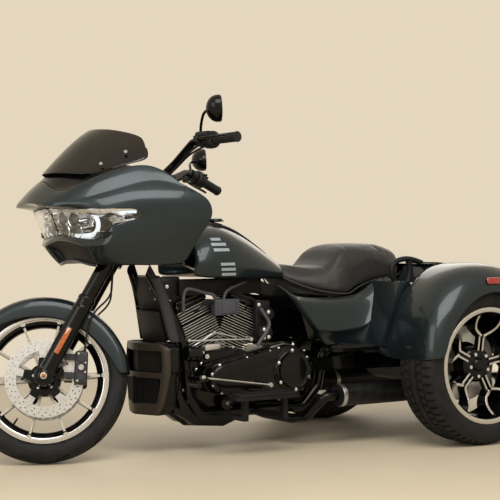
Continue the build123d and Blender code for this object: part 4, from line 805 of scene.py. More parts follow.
# Lines that run back along the fairing's left side, from the middle of the nose to the rear edge
FAIRING_TOP = metres([(1672, 0, 1090), (1686, 70, 1064), (1676, 135, 1038), (1650, 180, 1046), (1585, 208, 1084),
                      (1510, 240, 1114), (1430, 268, 1137), (1368, 286, 1140), (1325, 312, 1122), (1289, 345, 1088)])
FAIRING_BROW = metres([(1728, 0, 1040), (1722, 80, 1025), (1704, 142, 1016), (1672, 185, 1024), (1610, 226, 1048),
                       (1535, 258, 1078), (1462, 282, 1098), (1398, 300, 1104), (1340, 322, 1098), (1288, 350, 1080)])
FAIRING_CREASE = metres([(1738, 0, 1010), (1730, 84, 1002), (1722, 150, 994), (1690, 192, 998), (1620, 236, 1010),
                         (1545, 268, 1034), (1470, 298, 1058), (1404, 316, 1073), (1340, 334, 1078),
                         (1262, 362, 1064)])
FAIRING_FLANK = metres([(1741, 0, 998), (1732, 86, 989), (1726, 154, 980), (1694, 196, 982), (1625, 250, 990),
                        (1552, 294, 1002), (1472, 334, 1012), (1400, 360, 1026), (1310, 378, 1036), (1205, 382, 1034)])
LAMP_BROW = metres([(1650, 0, 981), (1647, 86, 974), (1640, 152, 971), (1632, 194, 970), (1612, 262, 971),
                    (1545, 306, 972), (1437, 350, 972), (1372, 375, 985), (1280, 392, 1000), (1158, 396, 1004)])
LAMP_SILL = metres([(1606, 0, 872), (1602, 86, 866), (1594, 140, 860), (1582, 186, 856), (1552, 268, 856),
                    (1530, 296, 912), (1426, 348, 935), (1362, 374, 938), (1268, 394, 944), (1144, 401, 952)])
FAIRING_SILL = metres([(1610, 0, 859), (1606, 90, 850), (1597, 146, 840), (1584, 192, 831), (1560, 272, 834),
                       (1528, 304, 846), (1430, 350, 856), (1364, 370, 866), (1270, 388, 884), (1162, 394, 912)])
FAIRING_JOWL = metres([(1586, 0, 820), (1581, 92, 808), (1572, 146, 800), (1560, 186, 793), (1540, 246, 794),
                       (1490, 276, 798), (1410, 316, 804), (1346, 336, 812), (1272, 352, 820), (1208, 356, 834)])
FAIRING_HEM = metres([(1551, 0, 776), (1549, 88, 764), (1542, 130, 758), (1530, 166, 755), (1510, 214, 757),
                      (1462, 246, 758), (1392, 286, 758), (1338, 304, 757), (1278, 314, 757), (1224, 318, 758)])
# The lining turns in behind the rear edge and along the hem
LINING_REAR = metres([(1289, 341, 1084), (1262, 356, 1058), (1205, 376, 1028), (1160, 390, 1000), (1148, 394, 952),
                      (1166, 388, 912), (1212, 350, 836), (1226, 312, 762)])


class TRIKE_OT_fairing(bpy.types.Operator):
    """Shark-nosed fairing shell with its lamp window, chin recess and lining"""
    bl_idname = "trike.fairing"
    bl_label = "Fairing"

    def execute(self, context):
        wall = context.scene.trike_body.panel_wall
        bm = bmesh.new()
        rows = grid_of(bm, [FAIRING_TOP, FAIRING_BROW, FAIRING_CREASE, FAIRING_FLANK, LAMP_BROW, LAMP_SILL,
                            FAIRING_SILL, FAIRING_JOWL, FAIRING_HEM])
        crease(bm, rows[2], 0.75)
        crease(bm, rows[3][:4], 0.6)
        crease(bm, rows[4][:7], 0.9)
        crease(bm, rows[5][:7], 0.9)
        crease(bm, rows[6][:6], 0.7)
        for index in (4, 5, 6):
            crease(bm, [rows[4][index], rows[5][index], rows[6][index]], 0.5)
        cut_window(bm, rows, (4, 5), (0, 6))
        # The chin recess is a dark panel of its own
        cut_window(bm, rows, (6, 8), (0, 3))
        mirrored(bm)
        settle("fairing_outer_shell", bm, "enamel", levels=3, wall=wall, replaces=["fairing_shell"])

        bm = bmesh.new()
        # Chin: a painted lip with a black hollow behind it
        lip = [FAIRING_SILL[:4], FAIRING_JOWL[:4], FAIRING_HEM[:4]]
        inner = [moved(lip[0], -0.035, 0, -0.006, 0.93), moved(lip[1], -0.045, 0, 0, 0.9),
                 moved(lip[2], -0.02, 0, 0.006, 0.9)]
        grid_of(bm, inner)
        grid_of(bm, [lip[0], inner[0]])
        grid_of(bm, [lip[2], inner[2]])
        mirrored(bm)
        settle("chin_recess", bm, "abs", levels=2, wall=0.002)

        bm = bmesh.new()
        # Painted rails that frame the chin, corner to corner
        for row in (lip[0], lip[2]):
            grid_of(bm, [moved(row, 0.001, 0, 0.007), moved(row, 0.003, 0, -0.001),
                         moved(row, -0.008, 0, -0.006, 0.99)])
        edge = [lip[0][3], lip[1][3], lip[2][3]]
        grid_of(bm, [moved(edge, -0.004, 0.006), moved(edge, 0.001, -0.002),
                     moved(edge, -0.012, -0.012)])
        mirrored(bm)
        settle("chin_rails", bm, "enamel", levels=2, wall=0.002)

        bm = bmesh.new()
        # Lining: the dark inside that shows from the saddle and from below
        grid_of(bm, [LINING_REAR, moved(LINING_REAR, 0.012, -0.03, -0.004),
                     moved(LINING_REAR, 0.075, -0.075, -0.006)])
        hem = FAIRING_HEM[4:]
        grid_of(bm, [hem, moved(hem, -0.002, -0.016, 0.006),
                     moved(hem, -0.006, -0.06, 0.03)])
        mirrored(bm)
        settle("fairing_lining", bm, "abs", levels=2, wall=0.002)
        return {"FINISHED"}


class TRIKE_OT_dash(bpy.types.Operator):
    """Instrument panel behind the screen, with its dials and blank display"""
    bl_idname = "trike.dash"
    bl_label = "Instrument Panel"

    def execute(self, context):
        bm = bmesh.new()
        crown = metres([(1650, 0, 1092), (1560, 0, 1112), (1455, 0, 1150), (1392, 0, 1158), (1352, 0, 1128),
                        (1331, 0, 1066), (1334, 0, 1041)])
        # Ahead of the dials the panel narrows to stay inside the fairing's upper edge
        narrow = (0.56, 0.62, 0.8, 0.96, 1.0, 1.0, 1.0)
        rows = []
        for side, drop in ((0, 0), (0.08, 0.002), (0.16, 0.01), (0.225, 0.022), (0.268, 0.04)):
            row = []
            for index, (ahead, _, height) in enumerate(crown):
                back = (ahead - 0.24 * side) if index < 3 else ahead - 0.1 * side
                row.append((back, side * narrow[index], height - drop - (0.02 * side if index < 3 else 0.0)))
            rows.append(row)
        rows.append(moved(rows[-1], -0.008, 0, -0.022, 1.16))
        grid_of(bm, rows)
        mirrored(bm)
        settle("dash_moulding", bm, "abs", levels=2, wall=0.003, replaces=["inner_fairing"])

        bm = bmesh.new()
        facing = Vector((-0.97, 0, 0.22)).normalized()
        for side in (-0.2, -0.115, 0.115, 0.2):
            centre = at(1.344 - 0.1 * abs(side), side, 1.082)
            radius = 0.04 if abs(side) < 0.15 else 0.03
            spun(bm, [(0.0, 0.004), (radius - 0.004, 0.004), (radius - 0.003, 0.009), (radius, 0.009),
                      (radius + 0.002, -0.006)], centre, axis=facing, steps=40, start=ACROSS)
        settle("dial_rings", bm, "chrome")
        bm = bmesh.new()
        for side in (-0.2, -0.115, 0.115, 0.2):
            centre = at(1.344 - 0.1 * abs(side), side, 1.082)
            rod(bm, centre, centre + facing * 0.0062, 0.036 if abs(side) < 0.15 else 0.026, sides=36)
        turn = Matrix.Rotation(radians(-77), 4, "Y")
        block(bm, at(1.334, 0, 1.074), (0.112, 0.14, 0.014), turn)
        soften(bm, 0.003)
        settle("dial_faces", bm, "black")
        return {"FINISHED"}


SCREEN_ROWS = metres([
    [(1668, 0, 1108), (1652, 70, 1110), (1618, 135, 1104), (1572, 190, 1100), (1500, 240, 1124), (1430, 266, 1144),
     (1364, 270, 1158)],
    [(1608, 0, 1170), (1596, 65, 1169), (1566, 122, 1163), (1524, 172, 1158), (1466, 218, 1166), (1408, 246, 1176),
     (1356, 254, 1188)],
    [(1540, 0, 1234), (1530, 58, 1233), (1504, 110, 1227), (1468, 154, 1220), (1424, 192, 1216), (1384, 220, 1216),
     (1350, 232, 1220)],
    [(1492, 0, 1270), (1484, 52, 1269), (1462, 100, 1264), (1434, 138, 1256), (1400, 172, 1248), (1372, 198, 1243),
     (1350, 214, 1238)],
    [(1462, 0, 1288), (1456, 48, 1287), (1436, 92, 1284), (1412, 128, 1277), (1384, 160, 1268), (1364, 184, 1258),
     (1352, 204, 1247)],
])


class TRIKE_OT_windscreen(bpy.types.Operator):
    """Smoked screen, its vent and its screws"""
    bl_idname = "trike.windscreen"
    bl_label = "Windscreen"

    def execute(self, context):
        bm = bmesh.new()
        grid_of(bm, SCREEN_ROWS)
        mirrored(bm)
        settle("screen_sheet", bm, "smoke", levels=3, wall=context.scene.trike_body.screen_wall,
               replaces=["windscreen"])
        bm = bmesh.new()
        # The vent under the screen, and the dark pad that the screen is screwed to
        vent = [FAIRING_TOP[:4], moved(FAIRING_TOP[:4], -0.014, 0, 0.004, 0.985),
                moved(SCREEN_ROWS[0][:4], -0.012, 0, -0.008, 0.95),
                moved(SCREEN_ROWS[0][:4], -0.036, 0, 0.012, 0.93)]
        grid_of(bm, vent)
        low, high = SCREEN_ROWS[0][3:], SCREEN_ROWS[2][3:]
        grid_of(bm, [moved(low, -0.012, -0.006), moved(SCREEN_ROWS[1][3:], -0.012, -0.008),
                     moved(high, -0.012, -0.008, -0.006)])
        mirrored(bm)
        settle("screen_vent", bm, "black", levels=2, wall=0.003)
        bm = bmesh.new()
        for ahead, side, height in ((1.532, 0.214, 1.14), (1.438, 0.236, 1.186)):
            out = Vector((0.42, 0.8, 0.42)).normalized()
            for mirror in (1, -1):
                line = Vector((out.x, out.y * mirror, out.z))
                head = at(ahead, side * mirror, height)
                rod(bm, head - line * 0.004, head + line * 0.004, 0.0075, 0.0065, sides=24)
        settle("screen_screws", bm, "cast")
        return {"FINISHED"}


class TRIKE_OT_headlamp(bpy.types.Operator):
    """Headlamp: clear lens, chromed bowl, dark projector cells and the running light around them"""
    bl_idname = "trike.headlamp"
    bl_label = "Headlamp"

    def execute(self, context):
        bm = bmesh.new()
        brow, sill = LAMP_BROW[:7], LAMP_SILL[:7]
        middle = [tuple((a + b) / 2 for a, b in zip(p, q)) for p, q in zip(brow, sill)]
        grid_of(bm, [moved(brow, -0.003, -0.001, 0.002), moved(middle, -0.001),
                     moved(sill, -0.003, -0.001, -0.002)])
        mirrored(bm)
        settle("lamp_lens", bm, "clear", levels=3, wall=0.003, replaces=["headlamp_lens"])

        bm = bmesh.new()
        # The bowl stands 40 to 70 mm behind the lens
        grid_of(bm, [moved(brow, -0.012, -0.004, -0.002),
                     moved(brow, -0.075, -0.03, -0.03),
                     moved(sill, -0.07, -0.03, 0.022),
                     moved(sill, -0.012, -0.004, 0.004)])
        mirrored(bm)
        settle("lamp_bowl", bm, "chrome", wall=0.002, replaces=["headlamp_housing"])

        bm = bmesh.new()
        # Four projector cells in two tiers on each side of the nose
        for side in (1, -1):
            for ahead, across, height, half in ((1.6, 0.05, 0.936, 0.03), (1.584, 0.05, 0.892, 0.024),
                                                (1.59, 0.125, 0.934, 0.03), (1.574, 0.125, 0.89, 0.025)):
                centre = at(ahead, side * across, height)
                facing = Vector((0.94, side * 0.3 * across / 0.125, -0.1)).normalized()
                spun(bm, [(0.0, 0.016), (0.012, 0.0145), (0.02, 0.008), (0.022, 0.0)], centre, axis=facing, steps=28,
                     start=UP, material=1)
                spun(bm, [(0.022, 0.002), (0.027, 0.02), (half, 0.022), (half, -0.03)], centre, axis=facing, steps=28,
                     start=UP)
        settle("lamp_cells", bm, "chrome cast")

        # The running light: a U on its side that wraps each pair of cells, with a tail along the lens
        both_hoses("running_light_", [(1600, 140, 962), (1578, 180, 962), (1556, 212, 950), (1548, 226, 915),
                                      (1552, 216, 882), (1566, 180, 870), (1586, 110, 872)], 0.0085, "light")
        both_hoses("running_tail_", [(1540, 262, 960), (1500, 298, 958), (1446, 334, 957)], 0.0045, "light")
        return {"FINISHED"}


# Tank, side covers and rear body

# Each section of the tank from its top ridge down the left side to its bottom edge
TANK_SECTIONS = metres([
    [(1062, 0, 862), (1066, 50, 858), (1074, 100, 838), (1084, 136, 800), (1092, 150, 752), (1092, 146, 716),
     (1084, 120, 702)],
    [(1046, 0, 890), (1050, 56, 884), (1062, 112, 856), (1078, 152, 806), (1088, 166, 752), (1088, 160, 708),
     (1078, 124, 698)],
    [(985, 0, 914), (990, 64, 905), (1004, 124, 872), (1020, 164, 814), (1034, 176, 752), (1040, 168, 702),
     (1036, 126, 690)],
    [(905, 0, 916), (908, 66, 905), (916, 128, 868), (930, 166, 808), (944, 176, 750), (954, 166, 698),
     (954, 122, 686)],
    [(822, 0, 882), (822, 60, 872), (826, 116, 836), (836, 152, 780), (848, 164, 736), (858, 156, 694),
     (860, 112, 682)],
    [(742, 0, 835), (742, 52, 826), (742, 98, 796), (746, 128, 754), (752, 140, 722), (758, 134, 690), (760, 96, 680)],
    [(672, 0, 789), (671, 42, 782), (668, 78, 760), (666, 102, 732), (666, 112, 710), (668, 106, 686), (668, 76, 678)],
    [(640, 0, 762), (638, 34, 757), (634, 64, 742), (630, 86, 722), (628, 94, 706), (628, 90, 688), (628, 64, 680)],
])


class TRIKE_OT_tank(bpy.types.Operator):
    """Fuel tank with its console, filler cap and plain silver bars"""
    bl_idname = "trike.tank"
    bl_label = "Fuel Tank"

    def execute(self, context):
        bm = bmesh.new()
        rows = grid_of(bm, TANK_SECTIONS)
        for index in (4, 5):
            crease(bm, [row[index] for row in rows], 0.35)
        for row in (rows[0], rows[-1]):
            crease(bm, row, 0.8)
        mirrored(bm)
        bmesh.ops.holes_fill(bm, edges=[edge for edge in bm.edges if edge.is_boundary], sides=40)
        settle("fuel_tank_shell", bm, "enamel", levels=3, replaces=["fuel_tank"])

        bm = bmesh.new()
        # The console runs down the tank's ridge from the filler to the seat
        ridge = [(1.0, 0.914), (0.93, 0.919), (0.86, 0.903), (0.79, 0.866), (0.72, 0.822), (0.665, 0.786)]
        rows = []
        for index, (ahead, height) in enumerate(ridge):
            half = (0.03, 0.046, 0.05, 0.046, 0.038, 0.026)[index]
            rows.append([(ahead, 0, height + 0.008), (ahead, half * 0.6, height + 0.006), (ahead, half, height - 0.002),
                         (ahead, half + 0.004, height - 0.014)])
        grid_of(bm, rows)
        mirrored(bm)
        settle("tank_console", bm, "black", levels=2, wall=0.003)
        bm = bmesh.new()
        axis = Vector((0.06, 0, 1)).normalized()
        spun(bm, [(0.0, 0.0115), (0.026, 0.0105), (0.03, 0.0085), (0.0325, 0.003), (0.036, 0.002), (0.037, -0.004)],
             at(0.905, 0, 0.926), axis=axis, steps=48, start=ACROSS)
        settle("filler_cap", bm, "black")

        bm = bmesh.new()
        # Plain bars on both sides, in place of any name: they step back as they go down
        bars = metres([(1006, 962, 857, 846), (1012, 944, 837, 825), (1008, 934, 815, 803), (984, 915, 757, 746),
                       (980, 911, 736, 725), (976, 907, 716, 705)])
        for front, rear, high, low in bars:
            for side in (1, -1):
                grid_of(bm, [[(front + (rear - front) * step / 6 - 0.12 * (high - height), side * 0.24, height)
                              for step in range(7)] for height in (high, (high + low) / 2, low)])
        bars_object = settle("tank_bars", bm, "vinyl")
        wrap = bars_object.modifiers.new("wrap", "SHRINKWRAP")
        wrap.target = bpy.data.objects["fuel_tank_shell"]
        wrap.wrap_method = "PROJECT"
        wrap.use_project_y = True
        wrap.use_positive_direction = wrap.use_negative_direction = True
        wrap.offset = 0.0006
        return {"FINISHED"}


class TRIKE_OT_side_covers(bpy.types.Operator):
    """Painted covers below the seat, creased along their length"""
    bl_idname = "trike.side_covers"
    bl_label = "Side Covers"

    def execute(self, context):
        bm = bmesh.new()
        rows = grid_of(bm, metres([
            [(706, 150, 668), (672, 176, 640), (628, 184, 612), (540, 190, 606), (420, 194, 606), (318, 198, 614),
             (262, 206, 664), (218, 214, 682)],
            [(700, 168, 660), (664, 196, 622), (630, 208, 596), (540, 212, 592), (420, 216, 594), (306, 222, 602),
             (254, 232, 656), (210, 240, 676)],
            [(682, 186, 636), (650, 210, 606), (622, 220, 588), (540, 226, 582), (420, 232, 584), (312, 240, 590),
             (262, 248, 624), (222, 256, 652)],
            [(630, 196, 562), (610, 214, 552), (592, 226, 540), (530, 236, 532), (420, 246, 532), (330, 256, 536),
             (286, 264, 556), (258, 270, 590)],
            [(574, 200, 486), (560, 222, 478), (546, 234, 472), (500, 248, 466), (420, 262, 470), (352, 272, 478),
             (322, 278, 500), (300, 282, 530)],
            [(544, 200, 452), (534, 216, 448), (520, 224, 446), (480, 236, 442), (410, 250, 448), (366, 262, 456),
             (340, 270, 470), (326, 278, 488)],
            [(512, 200, 410), (504, 214, 408), (494, 222, 408), (460, 232, 408), (406, 246, 408), (372, 256, 408),
             (356, 264, 408), (350, 270, 409)],
        ]))
        crease(bm, rows[1][2:], 0.8)
        crease(bm, rows[4][1:], 0.7)
        mirrored(bm)
        settle("side_cover_panels", bm, "enamel", levels=3, wall=context.scene.trike_body.panel_wall,
               replaces=["side_covers"], sharp=60)
        return {"FINISHED"}


class TRIKE_OT_rear_body(bpy.types.Operator):
    """Boot body between the wheels, its door, the seams and the grab loops"""
    bl_idname = "trike.rear_body"
    bl_label = "Rear Body"

    def execute(self, context):
        wall = context.scene.trike_body.panel_wall
        bm = bmesh.new()
        # Front quarter panel from the side cover's seam back to the fender
        rows = grid_of(bm, metres([
            [(214, 216, 684), (206, 262, 680), (196, 312, 664), (186, 366, 660), (176, 404, 672)],
            [(226, 258, 668), (222, 288, 655), (214, 330, 634), (222, 372, 628), (226, 410, 634)],
            [(268, 272, 592), (262, 300, 580), (256, 342, 566), (264, 384, 560), (272, 416, 560)],
            [(312, 284, 520), (306, 312, 508), (296, 352, 496), (296, 390, 490), (300, 418, 488)],
            [(344, 290, 450), (338, 318, 440), (326, 358, 430), (318, 392, 424), (318, 418, 422)],
            [(352, 292, 409), (346, 320, 396), (334, 360, 376), (326, 394, 362), (324, 418, 356)],
        ]))
        # Top deck behind the seat, from the middle out to the fender's seam, and down to the tail
        deck = grid_of(bm, metres([
            [(70, 0, 742), (70, 120, 740), (74, 220, 738), (80, 300, 738), (90, 402, 742)],
            [(-60, 0, 742), (-60, 120, 740), (-60, 220, 737), (-60, 300, 734), (-60, 402, 742)],
            [(-240, 0, 730), (-240, 120, 728), (-240, 220, 724), (-240, 300, 718), (-240, 402, 708)],
            [(-420, 0, 712), (-420, 120, 710), (-418, 220, 704), (-415, 300, 694), (-400, 396, 668)],
            [(-548, 0, 694), (-548, 120, 691), (-544, 220, 684), (-530, 310, 670), (-500, 396, 636)],
            [(-630, 0, 662), (-630, 120, 660), (-624, 220, 654), (-604, 320, 640), (-560, 396, 600)],
            [(-650, 0, 640), (-650, 120, 640), (-646, 220, 638), (-632, 320, 626), (-588, 396, 584)],
        ]))
        tail = grid_of(bm, metres([
            [(-646, 220, 638), (-632, 320, 626), (-588, 396, 584)],
            [(-656, 276, 600), (-640, 340, 590), (-598, 396, 560)],
            [(-666, 278, 540), (-648, 342, 530), (-602, 396, 510)],
            [(-654, 276, 440), (-640, 340, 435), (-594, 396, 425)],
            [(-638, 220, 392), (-620, 320, 385), (-572, 396, 380)],
            [(-586, 220, 349), (-574, 320, 348), (-530, 396, 348)],
        ]))
        sill = grid_of(bm, metres([
            [(-640, 0, 396), (-640, 110, 396), (-638, 220, 392)],
            [(-628, 0, 372), (-628, 110, 372), (-624, 220, 370)],
            [(-588, 0, 349), (-588, 110, 349), (-586, 220, 349)],
        ]))
        for made in (rows, deck, tail, sill):
            crease(bm, made[0], 0.6)
            crease(bm, made[-1], 0.8)
        mirrored(bm)
        settle("rear_body_panels", bm, "enamel", levels=2, wall=wall)

        bm = bmesh.new()
        # The door's outer skin, curved like the tail
        door = grid_of(bm, metres([
            [(-646, 0, 634), (-646, 120, 634), (-643, 210, 631), (-638, 262, 622)],
            [(-668, 0, 600), (-668, 120, 600), (-664, 214, 598), (-656, 266, 590)],
            [(-679, 0, 545), (-679, 120, 545), (-674, 214, 544), (-664, 266, 540)],
            [(-674, 0, 470), (-674, 120, 470), (-670, 214, 470), (-658, 266, 470)],
            [(-667, 0, 411), (-667, 120, 411), (-663, 210, 411), (-654, 260, 414)],
        ]))
        crease(bm, door[0], 0.7)
        crease(bm, door[-1], 0.7)
        mirrored(bm)
        settle("boot_door_skin", bm, "enamel", "boot_door", levels=2, wall=0.004)
        bm = bmesh.new()
        block(bm, at(-0.6745, 0, 0.606), (0.01, 0.15, 0.016))
        soften(bm, 0.003)
        settle("boot_handle", bm, "black", "boot_door")
        dress("trunk_door", "powder")
        dress("rear_body", "enamel")
        dress("grab_handles", "abs")
        # Grab loops: a moulded hoop on each side of the pillion seat, and its brace
        both_hoses("grab_hoop_", [(139, 286, 640), (190, 288, 652), (214, 290, 690), (216, 290, 730), (190, 288, 752),
                                  (140, 284, 762), (90, 284, 756), (52, 286, 742)], 0.0115, "abs",
                   replaces=["grab_handles"])
        both_hoses("grab_brace_", [(120, 284, 752), (100, 286, 700), (139, 286, 640)], 0.0125, "abs")
        return {"FINISHED"}


class TRIKE_OT_rear_fenders(bpy.types.Operator):
    """Arched rear fenders with a rounded shoulder, an inner seam and side markers"""
    bl_idname = "trike.rear_fenders"
    bl_label = "Rear Fenders"

    def execute(self, context):
        # Sections round the arch, from the front foot over the top to the tail: each runs from the inner
        # seam across the crown and down to the lip
        sections = metres([
            [(326, 404, 356), (322, 450, 357), (326, 520, 358), (326, 600, 360), (320, 650, 364), (296, 684, 370),
             (256, 692, 376)],
            [(322, 404, 430), (314, 450, 436), (322, 520, 440), (322, 600, 444), (314, 650, 444), (290, 684, 440),
             (246, 692, 424)],
            [(302, 404, 500), (296, 446, 520), (300, 520, 536), (298, 594, 540), (286, 646, 536), (258, 682, 518),
             (218, 692, 488)],
            [(272, 404, 566), (262, 436, 596), (256, 520, 622), (250, 590, 624), (236, 642, 612), (208, 681, 582),
             (172, 692, 546)],
            [(222, 404, 640), (212, 426, 668), (196, 520, 692), (186, 590, 690), (168, 640, 672), (140, 680, 634),
             (112, 692, 594)],
            [(150, 402, 704), (138, 420, 724), (116, 520, 732), (106, 590, 728), (94, 638, 708), (74, 679, 666),
             (56, 692, 618)],
            [(50, 402, 738), (46, 420, 746), (32, 520, 748), (22, 590, 744), (14, 638, 722), (4, 679, 678),
             (-4, 692, 628)],
            [(-70, 402, 742), (-70, 420, 747), (-70, 520, 745), (-70, 590, 740), (-68, 638, 718), (-66, 679, 672),
             (-66, 692, 618)],
            [(-190, 402, 722), (-190, 420, 725), (-184, 520, 720), (-176, 590, 712), (-164, 638, 690),
             (-146, 679, 646), (-132, 692, 592)],
            [(-296, 402, 676), (-294, 420, 678), (-284, 520, 668), (-272, 590, 658), (-252, 638, 636),
             (-220, 679, 596), (-192, 692, 546)],
            [(-370, 400, 606), (-366, 420, 606), (-354, 520, 594), (-340, 590, 582), (-316, 640, 562),
             (-278, 681, 530), (-236, 692, 486)],
            [(-408, 400, 516), (-404, 420, 515), (-392, 520, 506), (-376, 590, 496), (-350, 640, 480),
             (-310, 682, 456), (-262, 692, 424)],
            [(-414, 400, 430), (-410, 420, 430), (-400, 520, 424), (-386, 594, 418), (-360, 642, 408),
             (-318, 684, 394), (-272, 692, 378)],
            [(-402, 400, 356), (-400, 420, 356), (-392, 520, 356), (-378, 596, 356), (-352, 644, 354),
             (-314, 684, 352), (-274, 692, 350)],
        ])
        for side, node in ((1, "rear_fender_left"), (-1, "rear_fender_right")):
            bm = bmesh.new()
            rows = grid_of(bm, [moved(row, wide=side) for row in sections])
            crease(bm, [row[1] for row in rows], 0.35)
            crease(bm, rows[0], 0.9)
            crease(bm, rows[-1], 0.9)
            # The lip turns in toward the tyre
            lip = [row[-1] for row in rows]
            turned = bmesh.ops.extrude_edge_only(bm, edges=[bm.edges.get(pair) for pair in zip(lip, lip[1:])])["geom"]
            bmesh.ops.translate(bm, verts=[item for item in turned if isinstance(item, bmesh.types.BMVert)],
                                vec=(0, -side * 0.012, 0.004))
            crease(bm, lip, 0.5)
            settle(node.replace("rear_", "rear_wheel_"), bm, "enamel", levels=2,
                   wall=context.scene.trike_rear.fender_wall, replaces=[node])
        bm = bmesh.new()
        for side in (1, -1):
            verts = block(bm, at(-0.004, side * 0.6815, 0.672), (0.072, 0.01, 0.026))
            for vert in verts:
                vert.co.y -= side * (vert.co.z - 0.672) * 0.3
        soften(bm, 0.006, 3)
        settle("side_markers", bm, "red")
        return {"FINISHED"}


# Seat

SEAT_SECTIONS = metres([(650, 764, 36, 744, 46, 706), (618, 750, 70, 722, 82, 680), (575, 736, 108, 704, 124, 654),
                        (525, 727, 140, 697, 158, 634), (475, 725, 158, 700, 180, 622),
                        (436, 732, 164, 716, 190, 616), (408, 752, 160, 744, 192, 613),
                        (382, 790, 152, 772, 188, 612), (350, 814, 146, 788, 180, 616),
                        (300, 820, 144, 792, 176, 645), (220, 820, 142, 793, 172, 668),
                        (130, 816, 134, 791, 162, 678), (70, 804, 118, 782, 142, 684), (26, 782, 92, 764, 108, 700)])


def freeze(made):
    """Writes an object's modifiers into its mesh."""
    shown = bpy.data.meshes.new_from_object(made.evaluated_get(bpy.context.evaluated_depsgraph_get()))
    made.modifiers.clear()
    made.data = shown


def swell(made, limit):
    """Blows a closed cushion up as cloth under pressure, no point further than a limit, and leaves its mesh."""
    scene = bpy.context.scene
    rest = [vert.co.copy() for vert in made.data.vertices]
    cloth = made.modifiers.new("cloth", "CLOTH")
    cloth.settings.use_pressure = True
    cloth.settings.uniform_pressure_force = 4.0
    cloth.settings.effector_weights.gravity = 0.0
    cloth.settings.quality = 5
    for step in range(1, 21):
        scene.frame_set(step)
    shown = made.evaluated_get(bpy.context.evaluated_depsgraph_get())
    moved = [vert.co.copy() for vert in shown.data.vertices]
    made.modifiers.remove(cloth)
    scene.frame_set(1)
    for vert, start, end in zip(made.data.vertices, rest, moved):
        step = end - start
        vert.co = start + step * (min(step.length, limit) / step.length if step.length > 1e-9 else 0)


class TRIKE_OT_seat(bpy.types.Operator):
    """Two-up seat: a foam pad with a scooped rider's place, welted edge and pillion pad"""
    bl_idname = "trike.seat"
    bl_label = "Seat"

    def execute(self, context):
        rows = []
        for ahead, crown, half, shoulder, low_half, low in SEAT_SECTIONS:
            rows.append([
                (ahead, 0, crown), (ahead, half * 0.45, crown - 0.0012),
                (ahead, half * 0.78, (crown * 2 + shoulder) / 3), (ahead, half, shoulder),
                (ahead, (half + low_half) / 2 + 0.008, (shoulder + low) / 2 + 0.004),
                (ahead, low_half, low + 0.01), (ahead, low_half - 0.018, low), (ahead, 0, low + 0.002)])
        bm = bmesh.new()
        grid_of(bm, rows)
        mirrored(bm)
        bmesh.ops.holes_fill(bm, edges=[edge for edge in bm.edges if edge.is_boundary], sides=40)
        bmesh.ops.subdivide_edges(bm, edges=bm.edges[:], cuts=1, use_grid_fill=True, smooth=0.0)
        made = settle("seat_pad", bm, "leather", levels=2, sharp=180)
        # The subdivided form is frozen, remeshed to an even skin and swelled
        freeze(made)
        remesh = made.modifiers.new("skin", "REMESH")
        remesh.mode = "VOXEL"
        remesh.voxel_size = 0.007
        freeze(made)
        made.data.materials.clear()
        made.data.materials.append(finish("leather"))
        swell(made, context.scene.trike_body.cushion_swell)
        bm = bmesh.new()
        bm.from_mesh(made.data)
        # Sewn channels: across the seat at the bolster's foot and ahead of the pillion's place
        for vert in bm.verts:
            ahead = vert.co.x - REAR_AXLE_X
            if vert.co.z > 0.69:
                for line, depth in ((0.446, 0.0035), (0.322 + 0.1 * abs(vert.co.y), 0.003)):
                    near = abs(ahead - line)
                    if near < 0.012 and abs(vert.co.y) < 0.15:
                        vert.co.z -= depth * (1 - near / 0.012)
        bmesh.ops.smooth_vert(bm, verts=bm.verts, factor=0.5, use_axis_x=True, use_axis_y=True, use_axis_z=True)
        bm.to_mesh(made.data)
        bm.free()
        made.data.shade_smooth()
        smooth = made.modifiers.new("surface", "SUBSURF")
        smooth.levels = smooth.render_levels = 1
        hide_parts("seat")
        # Welt along the lower edge
        welt = [(row[0], row[4] + 0.004, row[5] + 0.004) for row in SEAT_SECTIONS]
        for side, hand in SIDES:
            hose("seat_welt_" + hand, moved(welt, wide=side), 0.0035, "leather")
        return {"FINISHED"}


# Rear wheels

REAR_TYRE_STEPS = 180


def rib(bm, hub, stalk, path, width, low, high, side, material=1):
    """A flat bar along a path of (radius, degrees off the stalk) on a wheel, with its cut face outwards."""
    centres = [polar(hub, radius, stalk + degrees) for radius, degrees in path]
    edges = []
    for index, centre in enumerate(centres):
        run = centres[min(index + 1, len(centres) - 1)] - centres[max(index - 1, 0)]
        sideways = run.normalized().cross(ACROSS) * width / 2
        edges += [centre - sideways, centre + sideways]
    made = bmesh.ops.create_grid(bm, x_segments=1, y_segments=len(path) - 1, size=1)["verts"]
    for vert, edge in zip(made, edges):
        vert.co = edge + ACROSS * side * high
    back = grown(bm, list(tint(made, material)), (0, -side * (high - low), 0), keep=True)
    tint(back, 0)


